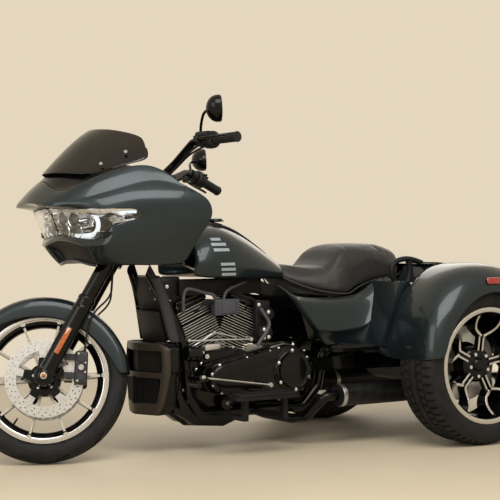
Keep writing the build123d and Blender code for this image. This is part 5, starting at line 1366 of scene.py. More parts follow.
class TRIKE_OT_rear_wheels(bpy.types.Operator):
    """Rear tyres with ribbed tread, and cast wheels with forked spokes"""
    bl_idname = "trike.rear_wheels"
    bl_label = "Rear Wheels"

    def execute(self, context):
        sizes = context.scene.trike_rear
        radius, half = sizes.tyre_radius, sizes.tyre_half
        for side, hand in SIDES:
            hub = at(0, side * REAR_HUB_Y, REAR_HUB_Z)
            body = "rear_wheel_" + hand
            bm = bmesh.new()
            flank = [(0.2285, 0.089), (0.24, 0.0935), (0.244, 0.099), (0.256, 0.1045), (0.27, half - 0.0004),
                     (0.286, half - 0.001), (0.3, 0.1035), (0.31, 0.0965), (0.317, 0.088), (0.3205, 0.08),
                     (0.322, 0.07)]
            # The crown's ribs and grooves, as depths below the tyre's radius
            crown = [(2, 60), (1.6, 57.5), (9, 56), (9, 50), (1.2, 48.5), (0.8, 36), (0.4, 24), (8.5, 22.5),
                     (8.5, 16.5), (0.2, 15), (0, 0)]
            made = spun(bm, both_ways(flank + [(radius - depth, y) for depth, y in metres(crown)]), hub,
                        steps=REAR_TYRE_STEPS)
            # Sipes: narrow cuts across the shoulder and the ribs
            cuts = []
            for face in made:
                middle = face.calc_center_median() - hub
                strip = strip_of(middle, REAR_TYRE_STEPS) % 3
                reach, out = hypot(middle.x, middle.z), abs(middle.y)
                shoulder = 0.062 < out < 0.098 and reach > 0.308 and strip == 0
                inner = 0.026 < out < 0.048 and reach > 0.32 and strip == 1
                if shoulder or inner:
                    cuts.append(face)
            bmesh.ops.inset_individual(bm, faces=cuts, thickness=0.0009, depth=-0.0045)
            settle("rear_tyre_rubber_" + hand, bm, "rubber", body, sharp=30, replaces=["rear_tyre_" + hand])

            bm = bmesh.new()
            # Barrel and lips, the outer lip cut bright; the centre stands 70 mm inside it
            for profile, material in (
                    ([(215, -90), (213, -50), (208, 0), (211, 50), (216, 82), (217.5, 90)], 0),
                    ([(217.5, 90), (220, 94), (234, 96.5), (238.5, 95.5), (240, 91.5), (239.5, 88.5)], 1),
                    ([(239.5, 88.5), (228.5, 86.5), (228, 0), (228.5, -86.5), (239.5, -90), (239, -96), (220, -96),
                      (215, -90)], 0)):
                spun(bm, metres(profile), hub, steps=96, material=material, out=side)
            # Hub with its bored face and domed cap
            spun(bm, metres([(0, 36), (20, 35), (26, 30), (28.5, 24), (64, 22), (72, 14), (74, -30), (0, -30)]), hub,
                 steps=56, out=side)
            for index in range(sizes.stalks):
                stalk = 98.4 + 72 * index if side > 0 else 81.6 - 72 * index
                for turn in (1, -1):
                    # Twin ribs of the stalk, then one arm of the fork out to the rim
                    twin = [(0.058, 11.0), (0.085, 7.2), (0.112, 5.6), (0.124, 5.8)]
                    arm = [(0.118, 3.0), (0.126, 7.0), (0.136, 12.6), (0.15, 17.0), (0.168, 19.2), (0.188, 19.0),
                           (0.206, 17.0), (0.219, 15.0)]
                    for path, width, low, high in ((twin, 0.0085, 0.004, 0.03), (arm, 0.0105, -0.01, 0.036)):
                        rib(bm, hub, stalk, [(r, turn * degrees) for r, degrees in path], width, low, high, side)
                rib(bm, hub, stalk, [(0.06, 0), (0.09, 0), (0.12, 0)], 0.02, 0.002, 0.02, side, 0)
                lug = polar(hub, 0.048, stalk + 36, side * 0.022)
                rod(bm, lug, lug + ACROSS * side * 0.016, 0.0095, 0.008, sides=6, material=2)
            for vert in bm.verts:
                reach = hypot(vert.co.x - hub.x, vert.co.z - hub.z)
                # The fork's arms rise toward the lip
                if 0.14 < reach < 0.217 and 0.03 < (vert.co.y - hub.y) * side < 0.04:
                    vert.co.y += side * (reach - 0.14) * 0.55
            settle("rear_rim_cast_" + hand, bm, "black alloy chrome", body, replaces=["rear_rim_" + hand], bevel=0.0007)
            bm = bmesh.new()
            # Brake disc on the wheel's inner face, and its bell
            for profile, material in (([(90, -60), (155, -60), (155, -66), (90, -66), (90, -60)], 0),
                                      ([(30, -30), (90, -60), (90, -66), (30, -50), (30, -30)], 1)):
                spun(bm, metres(profile), hub, steps=64, material=material, out=side)
            settle("rear_disc_" + hand, bm, "steel black", body)
        return {"FINISHED"}


# Engine

class TRIKE_OT_engine(bpy.types.Operator):
    """V-twin engine: finned cylinders, rocker boxes and cases"""
    bl_idname = "trike.engine"
    bl_label = "Engine"

    def execute(self, context):
        sizes = context.scene.trike_body
        crank = at(0.935, 0, 0.285)
        low, high = 0.112, 0.262
        fins = [(low + (high - low) * index / (sizes.fins - 1), 0.158 + 0.002 * (index % 2 == 0), 0.156)
                for index in range(sizes.fins)]
        fins += [(0.276 + 0.0105 * index, 0.15 - 0.004 * index, 0.15) for index in range(5)]
        for node, lean in (("front_cylinder", 22.5), ("rear_cylinder", -22.5)):
            bm = bmesh.new()
            axis = Vector((sin(radians(lean)), 0, cos(radians(lean))))
            turn = axis.to_track_quat("Z", "Y").to_matrix().to_4x4()
            rod(bm, crank + axis * 0.09, crank + axis * 0.33, 0.062, sides=40)
            for reach, wide, deep in fins:
                fin = block(bm, crank + axis * reach, (wide, deep, 0.0026), turn)
                # The fins' edges are cut bright
                for face in {face for vert in fin for face in vert.link_faces}:
                    if abs(face.normal.dot(axis)) < 0.5:
                        face.material_index = 1
            settle(node + "_barrel", bm, "powder steel", replaces=[node], bevel=0.0003)
            bm = bmesh.new()
            # Rocker box with its raised lid and bolts
            block(bm, crank + axis * 0.335, (0.15, 0.15, 0.02), turn)
            block(bm, crank + axis * 0.352, (0.128, 0.128, 0.022), turn)
            soften(bm, 0.007, 3)
            for front in (-0.058, 0.058):
                for side in (-0.064, 0.0, 0.064):
                    spot = crank + axis * 0.34 + (turn @ Vector((front, side, 0)))
                    rod(bm, spot, spot + axis * 0.012, 0.0055, sides=6, material=1)
            settle(node + "_rocker_box", bm, "black chrome")

        bm = bmesh.new()
        # Crankcase: two halves with a joint rib
        for half in (1, -1):
            plate(bm, [(1125, 150), (1150, 250), (1110, 345), (1040, 400), (935, 412), (830, 400), (760, 345),
                       (745, 230), (790, 140), (930, 92), (1060, 104)],
                  half * 0.002, half * 0.094)
        plate(bm, [(1133, 145), (1158, 252), (1116, 352), (1042, 408), (935, 420), (828, 408), (752, 350), (737, 228),
                   (786, 133), (930, 84), (1064, 96)], -0.004, 0.004)
        soften(bm, 0.004, 2)
        settle("crankcase_halves", bm, "black", replaces=["engine_case"])
        return {"FINISHED"}


# Engine covers, intake and plumbing

def hull_ring(side, inset, rear, front, rear_radius, front_radius):
    """A closed ring round two circles and the tangents between them, at one side distance."""
    run, rise = front[0] - rear[0], front[1] - rear[1]
    lean = atan2(rise, run)
    touch = acos((rear_radius - front_radius) / hypot(run, rise))
    ring = []
    for (ahead, height), radius, first, last in ((front, front_radius, lean - touch, lean + touch),
                                                 (rear, rear_radius, lean + touch, lean + 2 * pi - touch)):
        for step in range(25):
            angle = first + (last - first) * step / 24
            ring.append((ahead + (radius - inset) * cos(angle), side, height + (radius - inset) * sin(angle)))
    return ring + ring[:1]


def bolt(bm, place, facing, radius=0.0055, stand=0.006, material=0):
    """A button-headed bolt with its washer."""
    rod(bm, place, place + facing * 0.0015, radius * 1.5, sides=24, material=material)
    rod(bm, place, place + facing * stand, radius, radius * 0.82, sides=6, material=material)


class TRIKE_OT_primary(bpy.types.Operator):
    """Primary cover with its clutch cover and bolts, the gearbox behind it and the cam cover"""
    bl_idname = "trike.primary"
    bl_label = "Primary and Gearbox"

    def execute(self, context):
        rear, front = (0.668, 0.312), (0.985, 0.297)
        levels = metres([(95, 10), (138, 10), (138.2, 0), (144, 0), (145, 3), (185, 8), (196, 13), (202, 22),
                         (204, 34), (203, 50), (203, 66)])
        bm = bmesh.new()
        grid_of(bm, [hull_ring(side, inset, rear, front, 0.112, 0.068) for side, inset in levels])
        close_ends(bm)
        settle("primary_shell", bm, "black", sharp=50, replaces=["primary_cover"])

        clutch = at(0.664, 0, 0.315)
        bm = bmesh.new()
        spun(bm, metres([(92, 200), (92, 206), (90.5, 207.5), (86.5, 207.8), (85, 212), (82, 215), (76, 216.5),
                         (74, 215), (60, 216), (0, 217.5)]), clutch,
             steps=96)
        settle("clutch_cover", bm, "black", sharp=50)
        bm = bmesh.new()
        for index in range(6):
            bolt(bm, polar(clutch, 0.0805, 60 * index + 24, 0.2145), ACROSS, 0.0048, 0.005)
        for index, angle in enumerate((60, 100, 135, 168, 200, 232, 262)):
            bolt(bm, polar(at(rear[0], 0, rear[1]), 0.1045, angle, 0.187), ACROSS, 0.005)
        for angle in (-80, -30, 20, 70):
            bolt(bm, polar(at(front[0], 0, front[1]), 0.056, angle, 0.19), ACROSS, 0.005)
        for share in (0.3, 0.65):
            top = 0.424 + (0.365 - 0.424) * share
            low = 0.2 + (0.229 - 0.2) * share
            for height in (top - 0.014, low + 0.014):
                bolt(bm, at(rear[0] + 0.317 * share, 0.189, height), ACROSS, 0.005)
        settle("primary_bolts", bm, "chrome")

        bm = bmesh.new()
        # Gearbox: a ribbed casting behind the crankcase
        plate(bm, [(738, 185), (738, 380), (690, 404), (600, 398), (524, 358), (504, 290), (524, 190)], -0.09, 0.09)
        for ahead in (0.56, 0.6, 0.64, 0.68):
            block(bm, at(ahead, -0.088, 0.29), (0.006, 0.012, 0.15))
        soften(bm, 0.005, 2)
        settle("gearbox_case", bm, "black", replaces=["gearbox"])
        bm = bmesh.new()
        # Cam cover on the right, with its bolts and the pushrod tubes
        ring = [hull_ring(-side, inset, (0.88, 0.3), (0.99, 0.29), 0.098, 0.082)
                for side, inset in ((0.09, 0.0), (0.116, 0.002), (0.123, 0.008), (0.125, 0.018), (0.125, 0.05))]
        grid_of(bm, ring)
        close_ends(bm)
        settle("cam_cover", bm, "black", sharp=50)
        bm = bmesh.new()
        for foot, top in ((0.985, 1.036), (1.012, 1.064), (0.885, 0.834), (0.858, 0.806)):
            low, high = at(foot, -0.098, 0.372), at(top, -0.088, 0.578)
            rod(bm, low, high, 0.0095, sides=28)
            rod(bm, low, low + (high - low) * 0.12, 0.0135, sides=28)
            rod(bm, low + (high - low) * 0.58, low + (high - low) * 0.63, 0.012, sides=28)
        for index in range(7):
            bolt(bm, polar(at(0.935, 0, 0.296), 0.08, 51.4 * index, -0.123), -ACROSS, 0.005)
        settle("pushrod_tubes", bm, "chrome")
        return {"FINISHED"}


ENGINE_HOSES = [
    # Grey vent hoses over the cylinders and behind the rear one
    ("vent_hose_front", 0.007, "hose", [(1112, 94, 560), (1118, 100, 610), (1108, 102, 656), (1068, 102, 652),
                                        (1010, 102, 634), (974, 102, 630), (962, 102, 604)]),
    ("vent_hose_rear", 0.006, "hose", [(930, 104, 604), (926, 104, 632), (900, 102, 650), (862, 100, 664),
                                       (820, 94, 676)]),
    ("breather_hose", 0.0075, "hose", [(762, 120, 566), (744, 124, 536), (722, 128, 506), (738, 130, 470),
                                       (768, 132, 440), (786, 132, 416)]),
    ("spark_lead_front", 0.0042, "rubber", [(1052, 80, 560), (1044, 112, 580), (1010, 112, 606), (972, 106, 594)]),
    ("spark_lead_rear", 0.0042, "rubber", [(812, 80, 560), (820, 114, 584), (846, 114, 606), (872, 106, 594)]),
    # Steel oil lines along the cylinders' feet
    ("oil_line_long", 0.0042, "steel", [(1104, 112, 448), (1060, 116, 446), (960, 118, 446), (860, 118, 442),
                                        (806, 116, 440)]),
    ("oil_line_bent", 0.0036, "steel", [(1072, 110, 428), (1030, 116, 450), (990, 120, 476), (950, 120, 470),
                                        (880, 118, 452)]),
]


class TRIKE_OT_intake(bpy.types.Operator):
    """Air cleaner, the intake's grey housing in the V, hoses, oil lines and the horn"""
    bl_idname = "trike.intake"
    bl_label = "Intake and Plumbing"

    def execute(self, context):
        bm = bmesh.new()
        block(bm, at(0.921, 0.1025, 0.576), (0.114, 0.034, 0.064))
        block(bm, at(0.916, 0.121, 0.576), (0.062, 0.006, 0.05))
        for ahead in (0.876, 0.966):
            block(bm, at(ahead, 0.1205, 0.576), (0.006, 0.004, 0.05))
        soften(bm, 0.004, 3)
        block(bm, at(0.935, 0.0, 0.583), (0.034, 0.206, 0.044))
        settle("intake_housing", bm, "grey_plastic", replaces=["air_cleaner"])
        bm = bmesh.new()
        spun(bm, metres([(30, -84), (30, -126), (80, -126), (90, -132), (91, -150), (86, -178), (76, -187),
                         (60, -188), (56, -184), (0, -184)]), at(0.935, 0, 0.52), steps=72)
        settle("air_cleaner_case", bm, "black")
        bm = bmesh.new()
        for angle in (90, 210, 330):
            bolt(bm, polar(at(0.935, 0, 0.52), 0.04, angle, -0.1835), -ACROSS)
        settle("air_cleaner_bolts", bm, "chrome")

        for name, radius, short, points in ENGINE_HOSES:
            hose(name, metres(points), radius, short)
        bm = bmesh.new()
        for ahead, height, radius in ((1.104, 0.448, 0.0085), (0.81, 0.44, 0.01), (0.986, 0.476, 0.008),
                                      (1.04, 0.398, 0.008), (0.9, 0.412, 0.0065), (0.85, 0.402, 0.006)):
            spot = at(ahead, 0.094, height)
            rod(bm, spot, spot + ACROSS * 0.034, radius, sides=6)
        # The silver tag-shaped cover over the pump
        plate(bm, [(1030, 404), (1034, 420), (1024, 430), (966, 432), (956, 422), (962, 408)], 0.094, 0.128)
        soften(bm, 0.003, 2)
        settle("oil_fittings", bm, "steel")
        bm = bmesh.new()
        # Lower end: oil filter at the front, sump drain and the stand's boss
        rod(bm, at(1.072, 0.15, 0.392), at(1.136, 0.15, 0.404), 0.03, sides=48)
        rod(bm, at(1.1, 0.094, 0.396), at(1.1, 0.15, 0.396), 0.02, sides=32)
        rod(bm, at(0.93, 0.094, 0.19), at(0.93, 0.128, 0.19), 0.03, sides=40)
        for ahead, height in ((1.085, 0.3), (1.06, 0.33), (1.036, 0.352), (1.01, 0.38)):
            rod(bm, at(ahead, 0.09, height), at(ahead, 0.104, height), 0.013, sides=28)
        soften(bm, 0.004, 2)
        settle("engine_bosses", bm, "black")
        bm = bmesh.new()
        # Electrics between the downtubes, the wiring tray under the tank and the starter behind the rear cylinder
        lean = Matrix.Rotation(radians(14), 4, "Y")
        block(bm, at(1.214, 0.0, 0.64), (0.034, 0.172, 0.136), lean)
        block(bm, at(1.194, 0.0, 0.51), (0.046, 0.172, 0.124), lean)
        for index in range(7):
            block(bm, at(1.232 - 0.0045 * index, 0.0, 0.585 - 0.0165 * index), (0.012, 0.15, 0.004), lean)
        rod(bm, at(1.222, 0.02, 0.69), at(1.222, 0.08, 0.69), 0.02, sides=32)
        block(bm, at(1.128, -0.02, 0.64), (0.08, 0.13, 0.11), lean)
        block(bm, at(0.918, -0.01, 0.657), (0.39, 0.15, 0.062))
        block(bm, at(0.736, 0.01, 0.52), (0.07, 0.17, 0.15))
        rod(bm, at(0.742, 0.06, 0.462), at(0.742, 0.128, 0.462), 0.034, sides=40)
        rod(bm, at(0.716, 0.06, 0.54), at(0.716, 0.116, 0.54), 0.024, sides=32)
        soften(bm, 0.005, 2)
        settle("electrics", bm, "abs")
        bm = bmesh.new()
        for ahead, side, height in ((1.232, 0.05, 0.66), (1.222, 0.066, 0.616), (1.16, 0.046, 0.664),
                                    (1.148, 0.046, 0.604), (0.752, 0.128, 0.48), (0.73, 0.128, 0.448),
                                    (0.752, 0.128, 0.446), (0.722, 0.116, 0.55), (0.756, 0.096, 0.58)):
            bolt(bm, at(ahead, side, height), ACROSS, 0.005, 0.0055)
        settle("electrics_bolts", bm, "chrome")
        bm = bmesh.new()
        rod(bm, at(1.0725, 0.15, 0.392), at(1.066, 0.15, 0.391), 0.0235, 0.018, sides=40)
        for ahead, height in ((1.085, 0.3), (1.06, 0.33), (1.036, 0.352), (1.01, 0.38), (0.93, 0.19),
                              (1.1, 0.205), (1.072, 0.168), (1.03, 0.16), (1.12, 0.252)):
            bolt(bm, at(ahead, 0.104 if height != 0.19 else 0.128, height), ACROSS, 0.0062, 0.0055)
        settle("engine_bolts", bm, "chrome")
        return {"FINISHED"}


# Radiator cowl

COWL_ROWS = metres([(160, 118), (196, 140), (206, 144), (306, 174), (328, 181), (414, 176), (430, 168), (444, 140)])
COWL_NOSE = 1.3
COWL_EDGE = 1.232
COWL_REAR = 1.156
COWL_SLOPE = (COWL_NOSE - COWL_EDGE) / 0.182


class TRIKE_OT_cowl(bpy.types.Operator):
    """Radiator cowl with its two openings, the core behind them, louvres and glossy side panels"""
    bl_idname = "trike.cowl"
    bl_label = "Radiator Cowl"

    def execute(self, context):
        shares = (0.0, 0.42, 0.8, 0.84, 0.95, 1.0)
        bm = bmesh.new()
        face = []
        for height, half in COWL_ROWS:
            lean = 0.006 * (0.33 - height) / 0.17
            row = [(COWL_NOSE - COWL_SLOPE * half * share - abs(lean) - 0.016 * max(0, share - 0.95) / 0.05,
                    half * share, height) for share in shares]
            face.append(row)
        rows = grid_of(bm, face)
        crease(bm, rows[0], 0.8)
        crease(bm, rows[-1], 0.8)
        for low, high in ((2, 3), (4, 5)):
            for index in (low, high):
                crease(bm, rows[index][:4], 0.95)
            crease(bm, [rows[index][3] for index in range(low, high + 1)], 0.95)
            cut_window(bm, rows, (low, high), (0, 3))
        mirrored(bm)
        settle("cowl_frame", bm, "cowl", levels=2, wall=0.01, replaces=["radiator_cowl"])

        bm = bmesh.new()
        # Core and louvres behind the openings
        core = [[(COWL_NOSE - 0.03 - COWL_SLOPE * half * share, half * share, height) for share in (0, 0.45, 0.9)]
                for height, half in COWL_ROWS[1:-1]]
        grid_of(bm, core)
        mirrored(bm)
        settle("radiator_core", bm, "core", wall=0.004)
        bm = bmesh.new()
        pitch = 0.0112
        for index in range(-11, 12):
            side = index * pitch
            ahead = COWL_NOSE - 0.014 - COWL_SLOPE * abs(side)
            verts = block(bm, at(ahead, side, 0.256), (0.018, 0.0022, 0.108))
            for vert in verts:
                vert.co.y += 0.22 * (vert.co.x - at(ahead, 0, 0).x)
        for height in (0.232, 0.28):
            for side in (1, -1):
                rod(bm, at(COWL_NOSE - 0.016, 0, height),
                    at(COWL_NOSE - 0.016 - COWL_SLOPE * 0.124, side * 0.124, height), 0.0016, sides=8)
        settle("cowl_louvres", bm, "abs")

        bm = bmesh.new()
        # Glossy sides, swelling a little behind the bright front edge
        panel = []
        for height, half in COWL_ROWS:
            edge = COWL_NOSE - COWL_SLOPE * half - 0.018
            inner = half - 0.002
            panel.append([(edge + 0.003, inner - 0.01, height), (edge, inner + 0.0005, height),
                          (edge - 0.014, inner + 0.002, height), (edge - 0.04, inner - 0.002, height),
                          (COWL_REAR + 0.006, inner - 0.014, height), (COWL_REAR, inner - 0.04, height)])
        rows = grid_of(bm, panel)
        crease(bm, [row[1] for row in rows], 0.5)
        crease(bm, rows[0], 0.8)
        crease(bm, rows[-1], 0.8)
        mirrored(bm)
        settle("cowl_sides", bm, "black", levels=2, wall=0.003)
        bm = bmesh.new()
        # Top, bottom and back plates
        for height, half, drop in ((0.442, 0.138, -0.004), (0.162, 0.116, 0.004)):
            grid_of(bm, [[(COWL_NOSE - 0.012 - COWL_SLOPE * half * share, half * share, height)
                          for share in (0, 0.5, 1)],
                         [(COWL_REAR + 0.002, half * share, height + drop) for share in (0, 0.5, 1)]])
        grid_of(bm, [[(COWL_REAR + 0.001, (half - 0.04) * share, height) for share in (0, 0.5, 1)]
                     for height, half in COWL_ROWS])
        mirrored(bm)
        settle("cowl_back", bm, "abs", wall=0.003)
        return {"FINISHED"}


# Frame, running gear and exhaust

class TRIKE_OT_chassis(bpy.types.Operator):
    """Frame tubes, their front covers, rear axle, swinging arm and exhaust"""
    bl_idname = "trike.chassis"
    bl_label = "Chassis"

    def execute(self, context):
        for node, short in (("frame", "black"), ("swingarm", "black"), ("rear_axle", "cast"),
                            ("exhaust_pipes", "black"), ("mufflers", "satin"), ("fairing_bracket", "powder"),
                            ("triple_clamps", "black")):
            dress(node, short)
        for side, hand in SIDES:
            bm = bmesh.new()
            # Satin covers over the downtubes: a section of (along, out) at each place of the path
            section = metres([(26, -4), (22, 12), (0, 20), (-22, 12), (-26, -4)])
            path = metres([(1232, 88, 700), (1202, 102, 612), (1186, 112, 530), (1168, 120, 446)])
            made = grid_of(bm, [[(ahead + along, side * (across + out), height) for along, out in section]
                                for ahead, across, height in path])
            crease(bm, made[0], 0.8)
            crease(bm, made[-1], 0.8)
            settle("downtube_cover_" + hand, bm, "grey", levels=2, wall=0.003)
        bm = bmesh.new()
        # Muffler ends and their clamps
        for side in (1, -1):
            spun(bm, [(0.0285, 0.0), (0.0285, 0.1), (0.0305, 0.11), (0.0345, 0.111), (0.0378, 0.104), (0.0378, 0.0)],
                 at(-0.5195, side * 0.285, 0.205), axis=Vector((-1, 0, 0)), steps=56, start=UP)
        settle("muffler_tips", bm, "black")
        bm = bmesh.new()
        for side in (1, -1):
            for ahead in (0.494, 0.12, -0.3):
                rod(bm, at(ahead, side * 0.285, 0.205), at(ahead - 0.018, side * 0.285, 0.205), 0.0472, sides=56)
        settle("muffler_bands", bm, "steel", bevel=0.001)
        bm = bmesh.new()
        # Differential cover with its bolts, seen below the tail
        spun(bm, [(0.0, -0.022), (0.034, -0.02), (0.06, -0.012), (0.078, 0.002), (0.09, 0.004), (0.092, 0.01)],
             at(-0.104, 0, 0.325), axis=Vector((1, 0, 0)), steps=48, start=UP)
        for index in range(8):
            turn = radians(45 * index + 22)
            bolt(bm, at(-0.101, 0.083 * sin(turn), 0.325 + 0.083 * cos(turn)), Vector((-1, 0, 0)), 0.0055, 0.006, 1)
        settle("differential_cover", bm, "cast steel")
        return {"FINISHED"}


# Controls

GRIP_END = (0.896, 0.43, 1.132)
GRIP_INNER = (1.0, 0.29, 1.162)


class TRIKE_OT_controls(bpy.types.Operator):
    """Bars, grips, switches, levers and cables, on the steered front end"""
    bl_idname = "trike.controls"
    bl_label = "Controls"

    def execute(self, context):
        dress("handlebar", "black")
        end, inner = at(*GRIP_END), at(*GRIP_INNER)
        along = (end - inner).normalized()
        ahead = along.cross(UP).normalized()
        start = end - along * 0.12
        side_up = along.cross(ahead)

        def place(out, fore, up):
            return start + along * out + ahead * fore - side_up * up

        bm = bmesh.new()
        ribs = [(0.0152, -0.001), (0.02, -0.001), (0.021, 0.002), (0.0196, 0.005)]
        for index in range(20):
            spot = 0.008 + 0.005 * index
            ribs += [(0.0186, spot), (0.0192, spot + 0.0012), (0.0192, spot + 0.0034), (0.0186, spot + 0.0046)]
        ribs += [(0.0192, 0.112), (0.0205, 0.1135), (0.0205, 0.118), (0.018, 0.12), (0.0, 0.121)]
        spun(bm, ribs, start, axis=along, steps=40, start=ahead)
        mirrored(bm)
        settle("grip_rubber", bm, "rubber", "front_end", replaces=["grips"])
        bm = bmesh.new()
        # Switch housings: two clamped halves, with buttons and the levers' perches
        spun(bm, metres([(15.2, -60), (26, -60), (32, -55), (34.5, -34), (33, -14), (26, -4), (15.2, -4)]), start,
             axis=along, steps=48, start=ahead)
        spun(bm, [(0.0152, -0.096), (0.0222, -0.096), (0.0236, -0.093), (0.0236, -0.068), (0.0222, -0.066),
                  (0.0152, -0.062)], start, axis=along, steps=40, start=ahead)
        rod(bm, place(-0.077, 0.018, 0.0), place(-0.06, 0.05, 0.0), 0.012, 0.01, sides=28)
        rod(bm, place(-0.06, 0.05, -0.01), place(-0.06, 0.05, 0.01), 0.0125, sides=28)
        rod(bm, place(-0.07, 0.034, 0.014), place(-0.004, 0.038, 0.014), 0.016, 0.014, sides=32)
        for out, up in ((-0.04, 0.01), (-0.026, 0.014), (-0.018, 0.004)):
            rod(bm, place(out, -0.026, up), place(out, -0.0375, up + 0.002), 0.005, 0.0044, sides=20)
        mirrored(bm)
        settle("switch_housings", bm, "abs", "front_end", bevel=0.0008)
        bm = bmesh.new()
        # Lever: a flat blade that swells at its end
        path = metres([(-58, 52, 6), (-20, 58, 7.2), (30, 58, 6.6), (70, 54, 7), (102, 54, 7.8), (114, 56, 6)])
        rows = []
        for out, fore, half in path:
            ring = [(half, 0.0), (half * 0.6, 0.0048), (-half * 0.6, 0.0048), (-half, 0.0), (-half * 0.6, -0.0048),
                    (half * 0.6, -0.0048), (half, 0.0)]
            rows.append([tuple(place(out, fore + step, up) - at(0, 0, 0)) for step, up in ring])
        grid_of(bm, rows)
        close_ends(bm, sides=12)
        mirrored(bm)
        settle("hand_levers", bm, "black", "front_end", levels=2)

        # The last one is the brake hose, clipped down the leg to the calliper
        for name, radius, points in (
                ("throttle_line_", 0.0038, [(992, 296, 1142), (1050, 206, 1146), (1110, 126, 1100), (1196, 86, 1036),
                                            (1246, 66, 990), (1262, 50, 940)]),
                ("lever_line_", 0.0045, [(1006, 322, 1150), (1052, 226, 1150), (1100, 150, 1112), (1180, 105, 1034),
                                         (1240, 86, 982), (1262, 74, 930)]),
                ("brake_line_", 0.0038, [(1388, 98, 852), (1380, 91, 800), (1381, 86, 735), (1388, 84, 680),
                                         (1396, 86, 612), (1470, 88, 556), (1500, 88, 480), (1512, 88, 400)])):
            both_hoses(name, points, radius, "rubber", "front_end")
        return {"FINISHED"}


class TRIKE_OT_mirrors(bpy.types.Operator):
    """Oval mirrors on curved stalks"""
    bl_idname = "trike.mirrors"
    bl_label = "Mirrors"

    def execute(self, context):
        centre = at(0.957, 0.378, 1.261)
        both_hoses("mirror_stalk_", [(1020, 266, 1178), (1021, 286, 1206), (1016, 342, 1238), (1008, 376, 1252),
                                     (986, 379, 1256), (966, 378, 1262)], 0.0056, "black", "front_end", ["mirrors"])
        bm = bmesh.new()
        shape = (Matrix.Translation(centre) @ Matrix.Rotation(radians(-10), 4, "X")
                 @ Matrix.Rotation(radians(-16), 4, "Z") @ Matrix.Diagonal((0.046, 0.056, 0.05, 1)))
        bmesh.ops.create_uvsphere(bm, u_segments=48, v_segments=24, radius=1, matrix=shape)
        for vert in bm.verts:
            # The back is flat for the glass
            vert.co.x = max(vert.co.x, centre.x - 0.012)
            vert.co.y += 0.2 * (vert.co.z - centre.z)
        rod(bm, at(1.02, 0.266, 1.168), at(1.02, 0.266, 1.19), 0.011, sides=24)
        mirrored(bm)
        settle("mirror_shells", bm, "black", "front_end", sharp=60, replaces=["mirrors"])
        bm = bmesh.new()
        shape = (Matrix.Translation(centre - Vector((0.0124, 0, 0))) @ Matrix.Rotation(radians(-10), 4, "X")
                 @ Matrix.Diagonal((1, 0.048, 0.043, 1)) @ Matrix.Rotation(radians(90), 4, "Y"))
        bmesh.ops.create_circle(bm, cap_ends=True, segments=64, radius=1, matrix=shape)
        mirrored(bm)
        settle("mirror_glass", bm, "chrome", "front_end")
        return {"FINISHED"}


class TRIKE_OT_foot_controls(bpy.types.Operator):
    """Rider's and passenger's boards with rubber pads, the shift linkage and the brake pedal"""
    bl_idname = "trike.foot_controls"
    bl_label = "Foot Controls"

    def execute(self, context):
        dress("footboards", "powder")
        dress("passenger_boards", "black")
        bm = bmesh.new()
        pads = [(0.89, 0.34, 0.2395, 0.132, 0.046, 16), (0.418, 0.318, 0.4025, 0.122, 0.034, 15)]
        for centre, across, height, reach, half, count in pads:
            corner = 0.026
            outline = []
            for quarter, (cx, cy) in enumerate(((1, 1), (-1, 1), (-1, -1), (1, -1))):
                for step in range(7):
                    angle = radians(90 * quarter + 15 * step)
                    outline.append((centre + cx * (reach - corner) + corner * cos(angle),
                                    across + cy * (half - corner) + corner * sin(angle)))
            base = bm.faces.new([bm.verts.new(at(ahead, side, height)) for ahead, side in outline])
            grown(bm, [base], (0, 0, 0.006))
            for index in range(count):
                ahead = centre + (2 * index - count + 1) / count * (reach - 0.012)
                block(bm, at(ahead, across, height + 0.0075), (0.006, 2 * half - 0.026, 0.005))
        mirrored(bm)
        settle("board_pads", bm, "rubber", bevel=0.0006)
        bm = bmesh.new()
        # Shift linkage on the left: a polished rod between the pedal's shaft and the gearbox
        rod(bm, at(1.112, 0.134, 0.302), at(1.112, 0.276, 0.306), 0.008, sides=24)
        rod(bm, at(1.124, 0.262, 0.313), at(0.812, 0.262, 0.266), 0.0038, sides=20, material=1)
        rod(bm, at(1.112, 0.262, 0.306), at(1.124, 0.262, 0.313), 0.01, sides=20)
        for ahead, height in ((1.124, 0.313), (0.812, 0.266)):
            rod(bm, at(ahead, 0.252, height), at(ahead, 0.272, height), 0.0095, sides=24, material=1)
        rod(bm, at(0.812, 0.2, 0.266), at(0.812, 0.256, 0.266), 0.0075, sides=20)
        rod(bm, at(1.112, 0.27, 0.306), at(1.19, 0.29, 0.292), 0.0065, sides=20)
        rod(bm, at(1.19, 0.276, 0.292), at(1.19, 0.352, 0.292), 0.01, sides=24)
        # Brake pedal on the right
        rod(bm, at(1.112, -0.134, 0.302), at(1.112, -0.296, 0.302), 0.008, sides=24)
        rod(bm, at(1.112, -0.29, 0.302), at(1.17, -0.312, 0.286), 0.008, sides=20)
        block(bm, at(1.178, -0.326, 0.284), (0.054, 0.07, 0.012), Matrix.Rotation(radians(-24), 4, "Y"))
        settle("foot_levers", bm, "black steel", bevel=0.001)
        return {"FINISHED"}


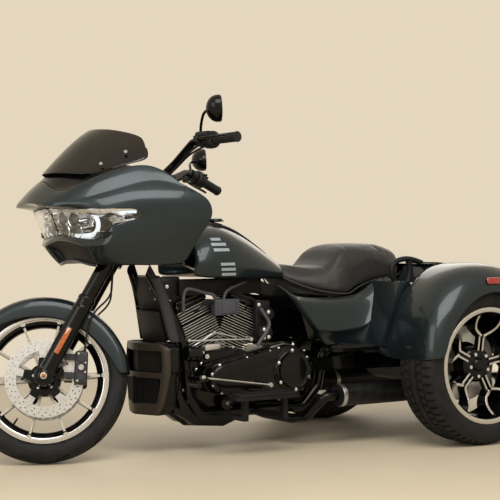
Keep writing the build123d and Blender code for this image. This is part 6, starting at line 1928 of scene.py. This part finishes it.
class TRIKE_OT_tail(bpy.types.Operator):
    """Tail lamps with their rims"""
    bl_idname = "trike.tail"
    bl_label = "Tail"

    def execute(self, context):
        bm = bmesh.new()
        for side in (1, -1):
            lens = []
            for share, back in ((0.0, 0.018), (0.55, 0.016), (0.86, 0.01), (1.0, 0.0)):
                ring = []
                for step in range(33):
                    # An oval with fuller corners than an ellipse's
                    wide, high = (copysign(abs(part) ** 0.8, part)
                                  for part in (cos(pi * step / 16), sin(pi * step / 16)))
                    ring.append((-0.3957 - back, side * (0.53 + 0.05 * share * wide), 0.48 + 0.026 * share * high))
                lens.append(ring)
            grid_of(bm, lens)
        settle("tail_lamp_lenses", bm, "red", sharp=60)
        dress("tail_lamps", "black")
        return {"FINISHED"}


# Panel, registration and the run

class TRIKE_PT_panel(bpy.types.Panel):
    """Lists the trike's pieces and their sizes"""
    bl_idname = "TRIKE_PT_panel"
    bl_label = "Trike"
    bl_space_type = "VIEW_3D"
    bl_region_type = "UI"
    bl_category = "Trike"

    def draw(self, context):
        for group in GROUPS:
            column = self.layout.column(heading=group.bl_rna.name)
            for name in group.__annotations__:
                column.prop(getattr(context.scene, GROUPS[group]), name)
        for operator in OPERATORS:
            self.layout.operator(operator.bl_idname)


GROUPS = {TrikeStage: "trike_stage", TrikeFront: "trike_front", TrikeRear: "trike_rear", TrikeBody: "trike_body"}
OPERATORS = [
    TRIKE_OT_stage, TRIKE_OT_front_wheel, TRIKE_OT_front_fender, TRIKE_OT_fork, TRIKE_OT_fairing, TRIKE_OT_dash,
    TRIKE_OT_windscreen, TRIKE_OT_headlamp, TRIKE_OT_tank, TRIKE_OT_side_covers, TRIKE_OT_rear_body,
    TRIKE_OT_rear_fenders, TRIKE_OT_seat, TRIKE_OT_rear_wheels, TRIKE_OT_engine,
    TRIKE_OT_primary, TRIKE_OT_intake, TRIKE_OT_cowl, TRIKE_OT_chassis, TRIKE_OT_controls, TRIKE_OT_mirrors,
    TRIKE_OT_foot_controls, TRIKE_OT_tail,
]


def register():
    """Registers the groups, the operators and the panel."""
    for group, name in GROUPS.items():
        bpy.utils.register_class(group)
        setattr(bpy.types.Scene, name, bpy.props.PointerProperty(type=group))
    for operator in OPERATORS:
        bpy.utils.register_class(operator)
    bpy.utils.register_class(TRIKE_PT_panel)


def unregister():
    """Takes them off again."""
    bpy.utils.unregister_class(TRIKE_PT_panel)
    for operator in reversed(OPERATORS):
        bpy.utils.unregister_class(operator)
    for group, name in reversed(GROUPS.items()):
        delattr(bpy.types.Scene, name)
        bpy.utils.unregister_class(group)


def main():
    """Makes every piece in order."""
    register()
    for operator in OPERATORS:
        group, name = operator.bl_idname.split(".")
        getattr(getattr(bpy.ops, group), name)()
    plain = [node for node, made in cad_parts.items() if not made.hide_render and not made.data.materials]
    for node in plain:
        dress(node, "powder")


if __name__ == "__main__":
    main()
